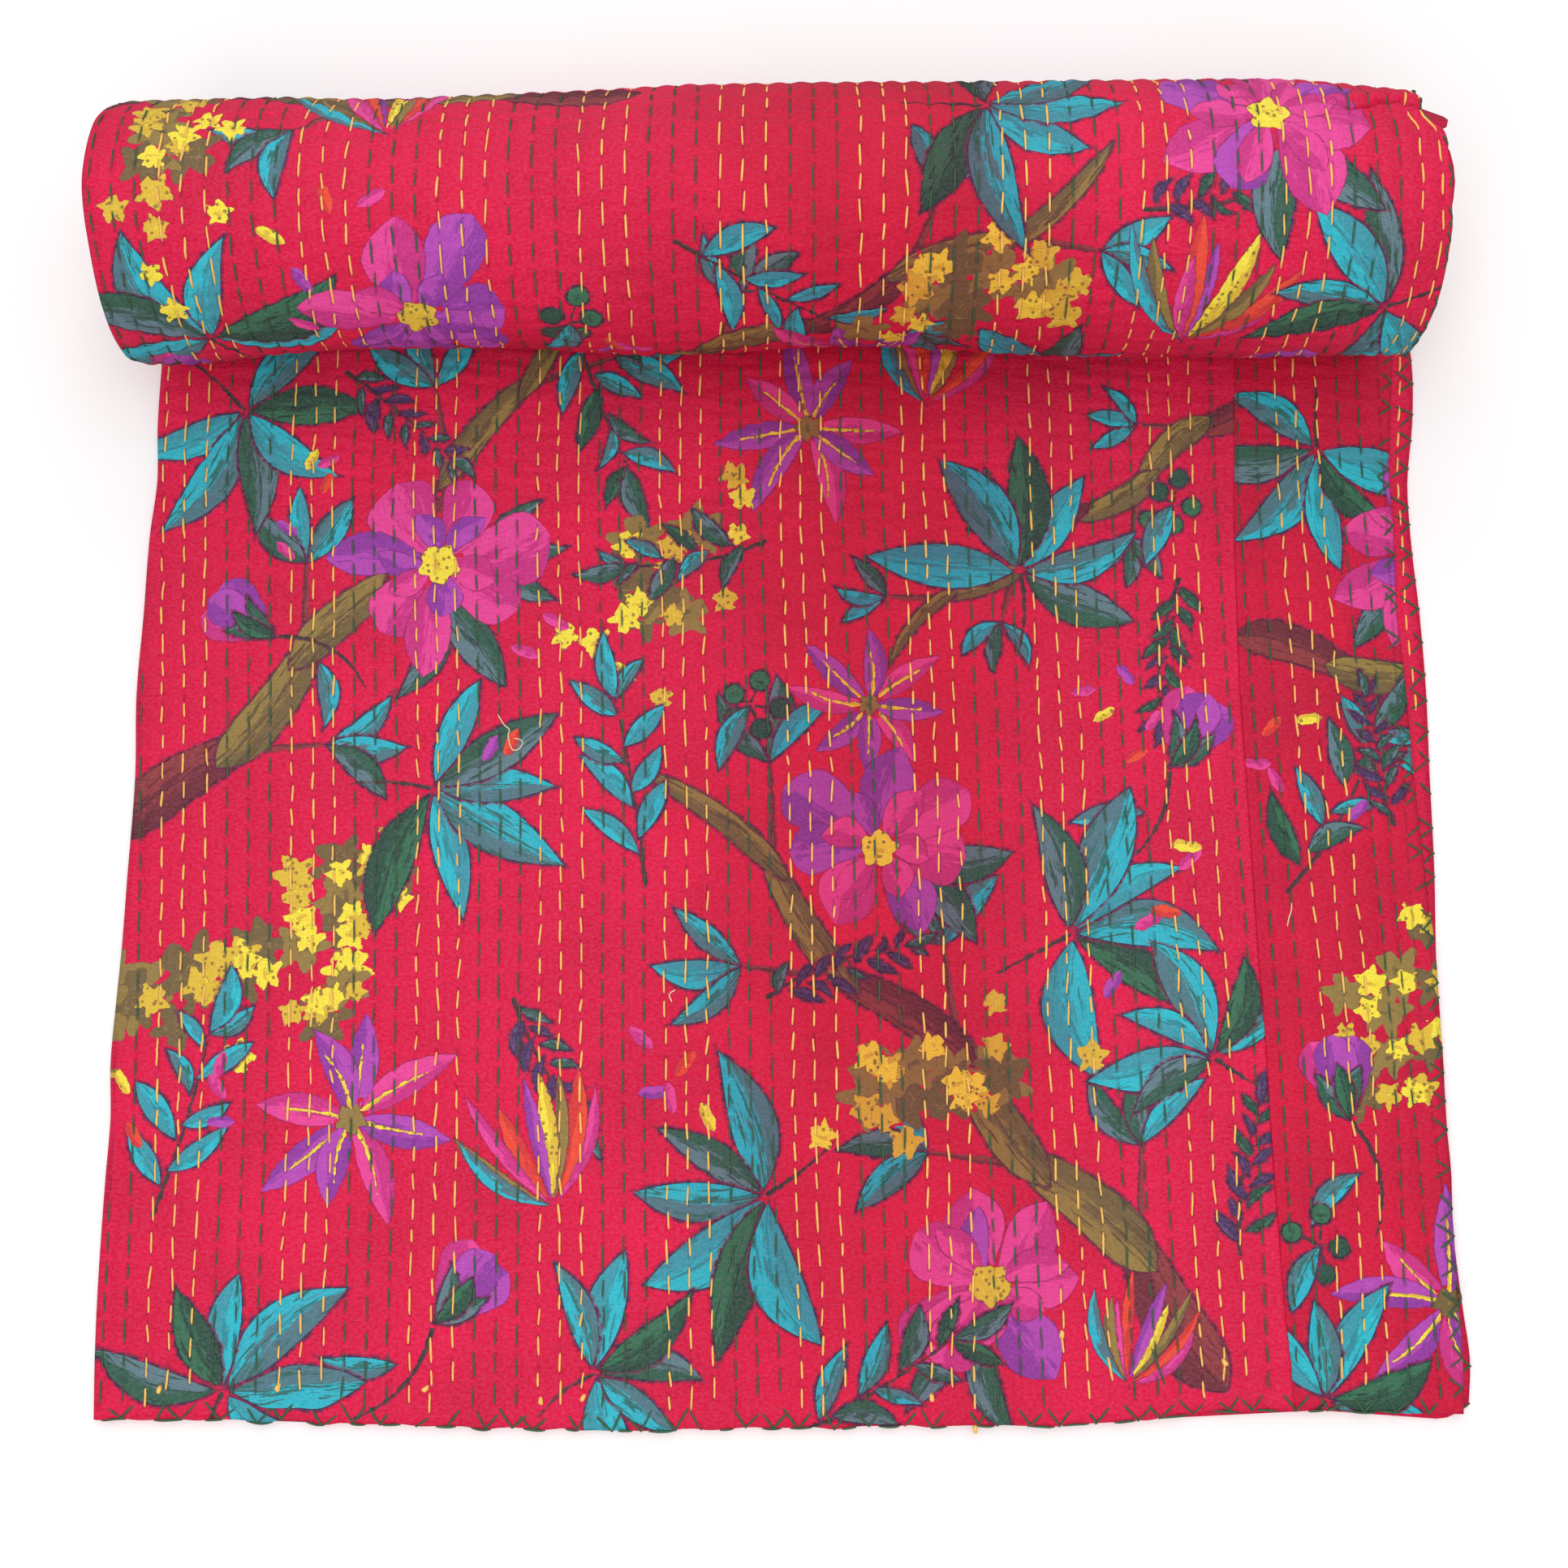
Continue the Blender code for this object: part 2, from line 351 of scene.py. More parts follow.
@dataclass(frozen=True)
class Quilting:
    """Running stitches on one face of the cloth: where they lie and how they draw it in.

    The last of the rows is a spare one beyond the cloth's edge.
    """

    rows: int
    length: float
    spacing: float
    seed: int
    pitch: float = 0.0163
    share: float = 0.79
    unevenness: float = 0.15
    channel: float = 0.00080
    channel_width: float = 0.0026
    crown: float = 0.00026
    pucker: float = 0.00032
    crinkle: float = 0.00013
    clear: float = 0.006
    step: float = 0.0005

    def starts(self) -> Array:
        """Where each stitch of each row starts along the cloth, one line for each row."""
        draw = np.random.default_rng(self.seed)
        count = int(self.length / self.pitch * 1.25)
        steps = self.pitch * draw.normal(1, self.unevenness, (self.rows, count)).clip(0.6, 1.5)
        return np.cumsum(steps, axis=1) - self.pitch * draw.uniform(1, 2, (self.rows, 1))

    def phase(self, row: Array, along: Array) -> Array:
        """Count of stitches from the start of a row, with a fraction that runs through each.

        Before the first stitch of a row, which lies `clear` of the edge, the fraction is 0.9.

        Args:
            row: Numbers of the rows.
            along: Places along them.

        Returns:
            The count at each place.
        """
        starts = self.starts()
        places = np.arange(0, self.length + self.step, self.step)
        counts = np.arange(starts.shape[1])
        first = (starts <= self.clear).sum(axis=1)
        lines = [np.interp(places, line, counts).clip(low) for line, low in zip(starts, first - 0.1)]
        table = np.stack(lines)
        column = np.clip(along / self.step, 0, len(places) - 1.001)
        low = column.astype(int)
        part = column - low
        return table[row, low] * (1 - part) + table[row, low + 1] * part

    def relief(self, row: Array, along: Array) -> Array:
        """Height of the quilted cloth: a channel along each row, deeper under each stitch.

        The channel is a bell of the distance to the nearest row. Between two rows the cloth
        crowns as a raised cosine, and short puckers cross the rows.

        Args:
            row: Place across the rows, where a whole number is on a row.
            along: Place along the rows.

        Returns:
            Height above the cloth's middle level.
        """
        nearest = np.clip(np.rint(row), 0, self.rows - 1)
        off = (row - nearest) * self.spacing
        on_row = bell(off, self.channel_width)
        phase = self.phase(nearest.astype(int), along)
        tight = 0.72 + 0.28 * np.cos(2 * np.pi * (phase - self.share / 2))
        across = row * self.spacing
        puckers = ripples(across, along, 0.060, 0.0105, self.seed + 1, 26)
        crinkles = ripples(across, along, 0.020, 0.0065, self.seed + 2, 26)
        crowns = self.crown * (1 - np.cos(2 * np.pi * row))
        return crowns - self.channel * on_row * tight + self.pucker * puckers + self.crinkle * crinkles

    def rows_map(self, row: Array, along: Array, sewn: Array | bool = True) -> Array:
        """Pairs of row and phase for the map of the rows, with UNSEWN where no thread shows.

        Args:
            row: Place across the rows.
            along: Place along them.
            sewn: Where the running stitches show.

        Returns:
            The pairs, with their two numbers last.
        """
        nearest = np.clip(np.rint(row), 0, self.rows - 2).astype(int)
        return pairs(row, np.where(sewn, self.phase(nearest, along), UNSEWN))


LOOSE_QUILTING = Quilting(LAST_ROW + 2, LOOSE_LENGTH + 0.02, ROW_SPACING, seed=11)
ROLL_QUILTING = Quilting(
    ROLL_LAST_ROW + 2, 0.60, ROLL_ROW_SPACING, seed=37, pitch=0.0183, clear=25 * DEGREE_LENGTH
)
UNSEWN = 0.9  # fraction of a stitch's count at which no thread shows


# ---- the cloth's folds ----


class Leg(IntEnum):
    """Which stretch of the folded section a column of the surface is on."""

    LOWER = 0
    BEND = 1
    UPPER = 2


def row_knots(along: Array) -> Array:
    """Across of each guide row at places along the cloth, one line for each place.

    A guide row is a smooth curve through its four places, and the seam has the one of OUTLINE.

    Args:
        along: The places, in one line.

    Returns:
        A table with a line for each place and a column for each guide row.
    """
    guides = np.asarray(ROW_GUIDES, float)
    table = np.column_stack([GUIDE_ALONG, guides[:, 1:].T])
    knots = np.stack([smooth(table, i + 1, along) for i in range(len(guides))], axis=1)
    seam = list(guides[:, 0]).index(SEAM_ROW)
    knots[:, seam] = smooth(OUTLINE, 2, along)
    knots[:, seam + 1] = np.maximum(knots[:, seam + 1], knots[:, seam] + 0.0015)
    return knots


def row_across(row: Array, along: Array) -> Array:
    """Across of a row of the loose end: straight between the guide rows beside it.

    Args:
        row: The row, with a fraction between two rows.
        along: Place along the cloth.

    Returns:
        The across, in the shape of both together.
    """
    row, along = np.broadcast_arrays(row, along)
    numbers = np.asarray(ROW_GUIDES, float)[:, 0]
    knots = row_knots(along.ravel())
    flat = row.ravel()
    i = np.clip(np.searchsorted(numbers, flat) - 1, 0, len(numbers) - 2)
    part = (flat - numbers[i]) / (numbers[i + 1] - numbers[i])
    line = np.arange(len(flat))
    found = knots[line, i] * (1 - part) + knots[line, i + 1] * part
    return found.reshape(row.shape)


def row_of(across: Array, along: Array) -> Array:
    """The row, with a fraction, at a place on the loose end: row_across the other way round.

    Args:
        across: Place across the cloth.
        along: Place along the cloth.

    Returns:
        The row, in the shape of both together.
    """
    across, along = np.broadcast_arrays(across, along)
    numbers = np.asarray(ROW_GUIDES, float)[:, 0]
    knots = row_knots(along.ravel())
    flat = across.ravel()
    i = np.clip((knots <= flat[:, None]).sum(axis=1) - 1, 0, len(numbers) - 2)
    line = np.arange(len(flat))
    part = (flat - knots[line, i]) / (knots[line, i + 1] - knots[line, i])
    return (numbers[i] + part * (numbers[i + 1] - numbers[i])).reshape(across.shape)


@dataclass(frozen=True)
class LooseEnd:
    """The flat, folded end of the quilt: a place in its folded section gets its point."""

    edge_round: float = 0.0030  # width and depth of the rounding towards a turned hem
    edge_drop: float = 0.0013
    hem_bead: float = 0.0004
    hem_wave: float = 0.0007
    low_wave: float = 0.00035
    crease_width: float = 0.0022
    ridge_off: float = 0.005  # the low ridge beside each crease
    ridge_width: float = 0.003
    ridge_share: float = 0.6
    seam_depth: float = 0.0006
    seam_width: float = 0.0006
    lap_rise: float = 0.0006

    def y(self, across: Array, along: Array) -> Array:
        """The y of a place: the hem's sag and its small waves fade out towards the roll."""
        fade = 1 - along / LOOSE_LENGTH
        near_hem = np.exp(-along / 0.03)
        waves = self.hem_wave * ripples(across, along * 0, 0.035, 0.3, 5)
        return FRONT_HEM_Y + along - smooth(HEM_SAG, 1, across) * fade - waves * near_hem

    def swell(self, across: Array, along: Array) -> Array:
        """Broad rise of the upper leaf: a bell for each row of SWELLS, and long low waves."""
        rise = self.low_wave * (1 + ripples(across, along, 0.16, 0.13, 3, 10))
        for peak_x, peak_y, half_width, half_length, height in SWELLS:
            off = ((across - peak_x) / half_width) ** 2 + ((along - peak_y) / half_length) ** 2
            rise = rise + height * np.exp(-off)
        return rise

    def creases(self, across: Array, along: Array) -> Array:
        """Depth of the soft creases: a bell across each one, with a low ridge beside it.

        Each one fades out at its ends, as a bell of the fourth power of the way along it.

        Args:
            across: Place across the cloth.
            along: Place along the cloth.

        Returns:
            How far the face lies below its smooth height.
        """
        depth = np.zeros(np.broadcast(across, along).shape)
        for middle_x, middle_y, turn, length, deep in CREASES:
            turn = np.radians(turn)
            way = (across - middle_x) * np.cos(turn) + (along - middle_y) * np.sin(turn)
            aside = (along - middle_y) * np.cos(turn) - (across - middle_x) * np.sin(turn)
            aside = aside + 0.0012 * np.sin(way * 90)
            fade = np.exp(-((2 * way / length) ** 4))
            ridge = self.ridge_share * bell(aside - self.ridge_off, self.ridge_width)
            depth += deep * fade * (bell(aside, self.crease_width) - ridge)
        return depth

    def seam_dip(self, across: Array, along: Array) -> Array:
        """Height at the lapped seam: a thin groove, and the wide panel's edge a little higher."""
        off = across - smooth(OUTLINE, 2, along)
        groove = -self.seam_depth * bell(off, self.seam_width)
        lap = self.lap_rise * bell(off + 0.002, 0.006) * (off < -0.0002)
        return groove + lap

    def rounding(self, gap: Array) -> Array:
        """Height at a distance from a turned hem: a parabola down to it, and a low bead behind."""
        near = np.clip(1 - gap / self.edge_round, 0, 1)
        bead = self.hem_bead * bell(gap - 0.006, 0.0035)
        return bead - self.edge_drop * near**2

    def top(self, across: Array, along: Array) -> Array:
        """Height of the upper leaf's upper face over the floor.

        Args:
            across: Place across the cloth.
            along: Place along the cloth.

        Returns:
            The height, where the quilting calms down towards the hems.
        """
        row = row_of(across, along)
        hems = np.minimum(along, smooth(OUTLINE, 3, along) - across)
        relief = LOOSE_QUILTING.relief(row, along)
        calm = np.clip(hems / 0.010, 0.25, 1)
        rise = self.swell(across, along) + self.seam_dip(across, along) - self.creases(across, along)
        return FOLDED + rise + relief * calm + self.rounding(hems)

    def upper_point(self, across: Array, along: Array, lift: Array | float = 0.0) -> Array:
        """Point on the upper leaf's upper face, or lift above it."""
        across, along = np.broadcast_arrays(across, along)
        z = self.top(across, along) + lift
        return np.stack([across - CENTRE_X, self.y(across, along), z], axis=-1)

    def margin_point(self, across: Array, along: Array, lift: Array | float = 0.0) -> Array:
        """Point on the lower leaf's strip that shows beside the upper leaf, or lift above it."""
        across, along = np.broadcast_arrays(across, along)
        z = LEAF + lift + 0.0002 * ripples(across, along, 0.05, 0.02, 8)
        return np.stack([across - CENTRE_X, self.y(across, along), z], axis=-1)


LOOSE = LooseEnd()


@dataclass(frozen=True)
class RolledEnd:
    """The roll: each turn lies inside the one before, and the axis drops where it is slack."""

    corner: float = 0.0038  # how far the fold's front corner stands out to the left
    corner_angle: float = 207.0
    corner_spread: float = 15.0
    low_wave: float = 0.0008
    pinch_angle: float = 58.5  # middle of the pinched crease's wavy line
    pinch_left: float = 0.272  # across where it begins
    pinch_depth: float = 0.0042
    floor_angle: float = -82.0  # nothing stands out of the cloth up to here

    def across(self, row: Array, angle: Array, leaf: int = 1) -> Array:
        """Across of a row, which drifts as the roll's ends do, less so further in from them.

        Args:
            row: The row, with a fraction between two rows.
            angle: Angle round the roll.
            leaf: Column of ROLL_HEMS: 1 for the outer leaf, 2 for the inner one.

        Returns:
            The across of each place.
        """
        still = ROLL_ROW_ZERO + ROLL_ROW_SPACING * row
        corner = self.corner * bell(angle - self.corner_angle, self.corner_spread)
        left = smooth(ROLL_ENDS, 1, angle) - corner - ROLL_LEFT
        left = left * np.exp((ROLL_LEFT - still) / LEFT_DRIFT)
        right = smooth(ROLL_ENDS, 2, angle) + smooth(ROLL_HEMS, leaf, angle) - ROLL_RIGHT
        return still + left + right * np.exp((still - ROLL_RIGHT) / RIGHT_DRIFT)

    def middle(self, across: Array, angle: Array) -> Array:
        """Middle of the two leaves: an ellipse whose radii lose TURN_PITCH with each turn.

        A bell of the angle lets the front of the outer turn hang forward.

        Args:
            across: Place across the roll.
            angle: Angle round the roll. Below -90 degrees it stands for the flat run under it.

        Returns:
            Points between the two leaves.
        """
        across, angle = np.broadcast_arrays(across, angle)
        full = smooth(FULLNESS, 1, across)
        drop = TURN_PITCH * (np.maximum(angle, -90) + 90) / 360
        turn = np.radians(np.maximum(angle, -90))
        axis = ROLL_AXIS_Y + smooth(FULLNESS, 2, across)
        y = axis + np.minimum(angle + 90, 0) / RUN_ANGLE * (axis - RUN_START_Y - PIECE_GAP)
        sag = smooth(ROLL_SAG, 1, across) * bell(angle - SAG_ANGLE, SAG_SPREAD)
        y = y + ((HALF_DEPTH_MID - drop) * full + sag) * np.cos(turn)
        z = full * (HALF_HEIGHT_MID + (HALF_HEIGHT_MID - drop) * np.sin(turn))
        z = z + FOLDED / 2 + sag * np.sin(turn)
        return np.stack([across - CENTRE_X, y, z], axis=-1)

    def outwards(self, angle: Array) -> Array:
        """Unit vector out of the roll at an angle."""
        turn = np.radians(np.maximum(angle, -90))
        return np.stack([np.zeros_like(turn), np.cos(turn), np.sin(turn)], axis=-1)

    def lumps(self, across: Array, angle: Array) -> Array:
        """How far the outer face stands out of true.

        Low waves, and a pinched crease at the upper right: a sharp bell inwards on a wavy
        line, with a broad bell outwards behind it and a low one before it.

        Args:
            across: Place across the roll.
            angle: Angle round the roll.

        Returns:
            The distance outwards.
        """
        waves = self.low_wave * ripples(across, angle * DEGREE_LENGTH, 0.18, 0.12, 21, 12)
        line = self.pinch_angle + 3.2 * np.cos(2 * np.pi * (across - 0.3137) / 0.0475)
        off = (angle - line) * DEGREE_LENGTH
        there = np.clip((across - self.pinch_left) / 0.034, 0, 1) ** 2
        fold = 0.0036 * bell(off + 0.0076, 0.0058) - self.pinch_depth * bell(off, 0.0014)
        fold = fold + 0.0016 * bell(off - 0.0036, 0.0028)
        return waves + fold * there

    def outer_point(self, row: Array, angle: Array, lift: Array | float = 0.0) -> Array:
        """Point on the roll's outer face at a row and angle, or lift above it.

        Args:
            row: The row, with a fraction between two rows.
            angle: Angle round the roll.
            lift: Height over the face.

        Returns:
            The points, with x, y and z last.
        """
        row, angle = np.broadcast_arrays(row, angle)
        across = self.across(row, angle)
        relief = ROLL_QUILTING.relief(row, (angle + 90) * DEGREE_LENGTH)
        # The cloth presses flat on the floor, so nothing stands out of its underside.
        free = np.clip((angle - self.floor_angle) / 25, 0, 1)
        still = ROLL_ROW_ZERO + ROLL_ROW_SPACING * row
        free = free * np.clip(np.minimum(still - ROLL_LEFT, ROLL_RIGHT - still) / 0.006, 0, 1)
        height = FOLDED / 2 + (relief + self.lumps(across, angle)) * free + lift
        return self.middle(across, angle) + self.outwards(angle) * height[..., None]


ROLL = RolledEnd()
ROLL_FOLD_ROW = (ROLL_LEFT + FOLDED / 2 - ROLL_ROW_ZERO) / ROLL_ROW_SPACING
ROLL_PRINT_TOP = 0.47


# ---- the print ----

PRINT_LAYERS = 3  # how many strokes can lie over each other


class Ink(IntEnum):
    """Pairs of printing inks, each with the darker one that rings it."""

    TURQUOISE = 0
    TEAL = 1
    SLATE = 2
    GREEN = 3
    PURPLE = 4
    MAGENTA = 5
    YELLOW = 6
    OLIVE = 7
    BROWN = 8
    ORANGE = 9
    STEM = 10
    PLUM = 11


# The light ink, the dark ink, the brushed lines and the ring of each, in the order of Ink.
INKS = (
    ("#14B5C3", "#2E96A3", "#1F7F88", "#3C2C46"),
    ("#16AFBF", "#47767D", "#1F5F4A", "#37304A"),
    ("#597B80", "#265F45", "#1C4936", "#38283E"),
    ("#2A6E49", "#1D5239", "#173F2E", "#243030"),
    ("#AE46AC", "#8C3699", "#762C86", "#7A2C86"),
    ("#E0418F", "#C42C7A", "#B02A70", "#A32062"),
    ("#EFDC34", "#D8B62A", "#B98A26", "#8A6A24"),
    ("#8F7A35", "#6F6030", "#564624", "#4E3A28"),
    ("#8C3A32", "#6D2B2B", "#5A2526", "#4B2224"),
    ("#E4481F", "#CF3322", "#B9301F", "#B02A24"),
    ("#4A3A2E", "#33352A", "#2E2E26", "#2A2A24"),
    ("#5E4570", "#47365C", "#36294A", "#33283F"),
)


class Shape(Enum):
    """How a stroke's half-width runs along it."""

    LEAF = "pointed at both ends"
    PETAL = "blunt at both ends"
    TWIG = "a line that thins out"
    BLOT = "a round or lobed spot"


@dataclass(frozen=True)
class Stroke:
    """One stroke of the print, at a place of the cloth and in a direction."""

    x: float
    y: float
    turn: float
    length: float
    half_width: float
    ink: Ink
    bend: float = 0.0
    skew: float = 0.0
    shape: Shape = Shape.LEAF
    ring: float = 0.0007
    seed: float = 0.0

    def field(self, at: Array) -> Array:
        """Where places of the cloth lie on the stroke.

        A leaf's half-width is a parabola of the share along it and a petal's is a quartic. The
        middle line bends as a parabola. For a blot the distance is the one from its centre.

        Args:
            at: Places of the cloth, with across and along last.

        Returns:
            Share along the stroke, distance from its middle line, and half-width there.
        """
        off = at - (self.x, self.y)
        way = off @ (np.cos(self.turn), np.sin(self.turn))
        aside = off @ (-np.sin(self.turn), np.cos(self.turn))
        share = way / self.length
        lean = 1 + self.skew * np.clip(2 * share - 1, -1, 1)
        if self.shape is Shape.LEAF:
            width = self.half_width * 4 * share * (1 - share) * lean
        elif self.shape is Shape.PETAL:
            width = self.half_width * (1 - (2 * share - 1) ** 4) * lean
        elif self.shape is Shape.TWIG:
            past = np.maximum(-share, share - 1).clip(0)
            width = self.half_width * (1 - 0.65 * share) - past * self.length * 2
        else:
            angle = np.arctan2(aside, way)
            uneven = np.cos(5 * angle + self.seed * 40) + 0.7 * np.cos(8 * angle - self.seed * 90)
            lobes = 1 + self.skew * uneven
            return np.stack([share / 2 + 0.5, np.hypot(way, aside), self.half_width * lobes], axis=-1)
        aside = aside - self.bend * 4 * share * (1 - share)
        return np.stack([share, aside, width], axis=-1)

    def reach(self) -> tuple[float, float, float]:
        """Centre and radius of a circle round the stroke."""
        half = 0.0 if self.shape is Shape.BLOT else self.length / 2
        across, along = self.x + half * np.cos(self.turn), self.y + half * np.sin(self.turn)
        return across, along, half + 1.3 * self.half_width + abs(self.bend) + 0.003


class Motif(Enum):
    """Kinds of motif of the print."""

    FAN = "fan"
    SPRIG = "sprig"
    FERN = "fern"
    BLOSSOM = "blossom"
    STAR = "star"
    BUD = "bud"
    BOUGH = "bough"
    FLORETS = "florets"
    BERRIES = "berries"
    PLUME = "plume"
    SLIVERS = "slivers"


# Motifs of the loose end's wide panel.
# motif, across, along, turn in degrees, size
WIDE_PRINT = (
    (Motif.BOUGH, 0.245, 0.01, 118, 1.25),
    (Motif.BOUGH, -0.39, 0.325, 35, 1.15),
    (Motif.BOUGH, 0.3, 0.6, 205, 0.75),
    (Motif.FAN, -0.325, 0.585, -60, 1.35),
    (Motif.BLOSSOM, -0.205, 0.49, 20, 1.35),
    (Motif.SPRIG, -0.13, 0.65, -70, 1.25),
    (Motif.STAR, 0.015, 0.575, 10, 1.15),
    (Motif.FERN, -0.265, 0.61, -40, 1.2),
    (Motif.FLORETS, -0.075, 0.47, 60, 1.3),
    (Motif.FAN, 0.14, 0.485, 70, 1.5),
    (Motif.SPRIG, -0.01, 0.505, 190, 1.0),
    (Motif.PLUME, 0.085, 0.59, 80, 1.1),
    (Motif.BERRIES, 0.232, 0.525, 0, 1.1),
    (Motif.FERN, 0.235, 0.48, -100, 1.2),
    (Motif.BUD, -0.3, 0.445, 150, 1.15),
    (Motif.FLORETS, -0.325, 0.25, 20, 1.6),
    (Motif.FLORETS, -0.25, 0.275, 70, 1.2),
    (Motif.FAN, -0.205, 0.355, -20, 1.4),
    (Motif.SLIVERS, -0.15, 0.41, 0, 1.3),
    (Motif.SPRIG, -0.08, 0.3, 100, 1.3),
    (Motif.BERRIES, -0.02, 0.405, 0, 1.15),
    (Motif.STAR, 0.05, 0.405, 40, 0.95),
    (Motif.BLOSSOM, 0.055, 0.32, 80, 1.2),
    (Motif.FERN, -0.01, 0.235, 20, 1.2),
    (Motif.BUD, 0.225, 0.365, 60, 1.25),
    (Motif.FAN, 0.165, 0.27, 10, 1.45),
    (Motif.SLIVERS, 0.225, 0.3, 0, 1.3),
    (Motif.FAN, 0.245, 0.195, 130, 1.2),
    (Motif.STAR, -0.245, 0.165, 30, 1.25),
    (Motif.SPRIG, -0.355, 0.11, 75, 1.25),
    (Motif.FERN, -0.155, 0.235, -60, 1.2),
    (Motif.PLUME, -0.13, 0.12, 110, 1.2),
    (Motif.FAN, -0.01, 0.125, 200, 1.45),
    (Motif.SLIVERS, -0.07, 0.19, 0, 1.3),
    (Motif.FLORETS, 0.085, 0.195, 0, 1.35),
    (Motif.BLOSSOM, 0.115, 0.075, 0, 1.3),
    (Motif.BUD, -0.195, 0.055, 50, 1.25),
    (Motif.FAN, -0.31, 0.015, 60, 1.35),
    (Motif.FAN, -0.105, 0.03, 20, 1.15),
    (Motif.SPRIG, 0.005, -0.005, 30, 1.2),
    (Motif.PLUME, 0.19, 0.02, 70, 0.9),
    (Motif.SLIVERS, -0.29, 0.52, 0, 1.1),
    (Motif.SLIVERS, 0.19, 0.42, 0, 1.1),
    (Motif.FERN, 0.255, 0.085, 80, 1.2),
    (Motif.SLIVERS, -0.34, 0.18, 0, 1.2),
)

# Motifs of the narrow panel, which is cut from another place of the cloth.
NARROW_PRINT = (
    (Motif.BOUGH, 0.265, 0.445, -20, 0.9),
    (Motif.FAN, 0.32, 0.56, -110, 1.35),
    (Motif.BLOSSOM, 0.38, 0.5, 0, 1.2),
    (Motif.SPRIG, 0.29, 0.29, 60, 1.3),
    (Motif.FLORETS, 0.355, 0.225, 60, 1.2),
    (Motif.BUD, 0.32, 0.16, 100, 1.2),
    (Motif.FERN, 0.355, 0.33, 100, 1.1),
    (Motif.STAR, 0.37, 0.06, 0, 1.2),
    (Motif.BERRIES, 0.3, 0.09, 0, 1.1),
    (Motif.SLIVERS, 0.31, 0.38, 0, 1.2),
    (Motif.FAN, 0.3, 0.005, 40, 1.15),
)

# Motifs of the roll's outer leaf, where along runs up from the line where it dips in.
ROLL_PRINT = (
    (Motif.BOUGH, -0.155, 0.05, 25, 1.0),
    (Motif.FAN, -0.325, 0.135, 100, 1.5),
    (Motif.BLOSSOM, -0.205, 0.155, 10, 1.3),
    (Motif.FERN, -0.255, 0.06, 160, 1.3),
    (Motif.BUD, -0.365, 0.08, 60, 1.0),
    (Motif.BERRIES, -0.12, 0.15, 0, 1.2),
    (Motif.SPRIG, -0.06, 0.2, -30, 1.25),
    (Motif.STAR, 0.035, 0.09, 10, 1.3),
    (Motif.FLORETS, 0.115, 0.165, 10, 1.4),
    (Motif.FAN, 0.15, 0.065, 60, 1.4),
    (Motif.PLUME, 0.225, 0.13, 75, 1.3),
    (Motif.FERN, 0.195, 0.215, 10, 1.2),
    (Motif.BUD, 0.3, 0.07, 110, 1.25),
    (Motif.FAN, 0.335, 0.16, 190, 1.4),
    (Motif.SLIVERS, -0.09, 0.1, 0, 1.3),
    (Motif.SLIVERS, 0.255, 0.06, 0, 1.3),
    (Motif.SLIVERS, -0.27, 0.2, 0, 1.3),
    (Motif.SPRIG, -0.32, 0.03, 10, 1.1),
    (Motif.BLOSSOM, 0.265, 0.27, 40, 1.3),
    (Motif.FAN, 0.11, 0.28, -20, 1.4),
    (Motif.BOUGH, -0.08, 0.3, 170, 1.1),
    (Motif.SPRIG, 0.01, 0.33, 60, 1.3),
    (Motif.FLORETS, -0.34, 0.26, 80, 1.3),
    (Motif.PLUME, -0.22, 0.27, 100, 1.1),
    (Motif.STAR, -0.21, 0.37, 0, 1.3),
    (Motif.FAN, -0.34, 0.4, 30, 1.3),
    (Motif.BERRIES, 0.02, 0.42, 0, 1.2),
    (Motif.BLOSSOM, 0.18, 0.4, 30, 1.3),
    (Motif.FERN, 0.35, 0.35, 120, 1.3),
    (Motif.BUD, -0.06, 0.42, 40, 1.3),
    (Motif.SPRIG, -0.27, 0.48, 20, 1.3),
    (Motif.FAN, 0.05, 0.49, 100, 1.3),
    (Motif.STAR, 0.3, 0.47, 100, 1.3),
)


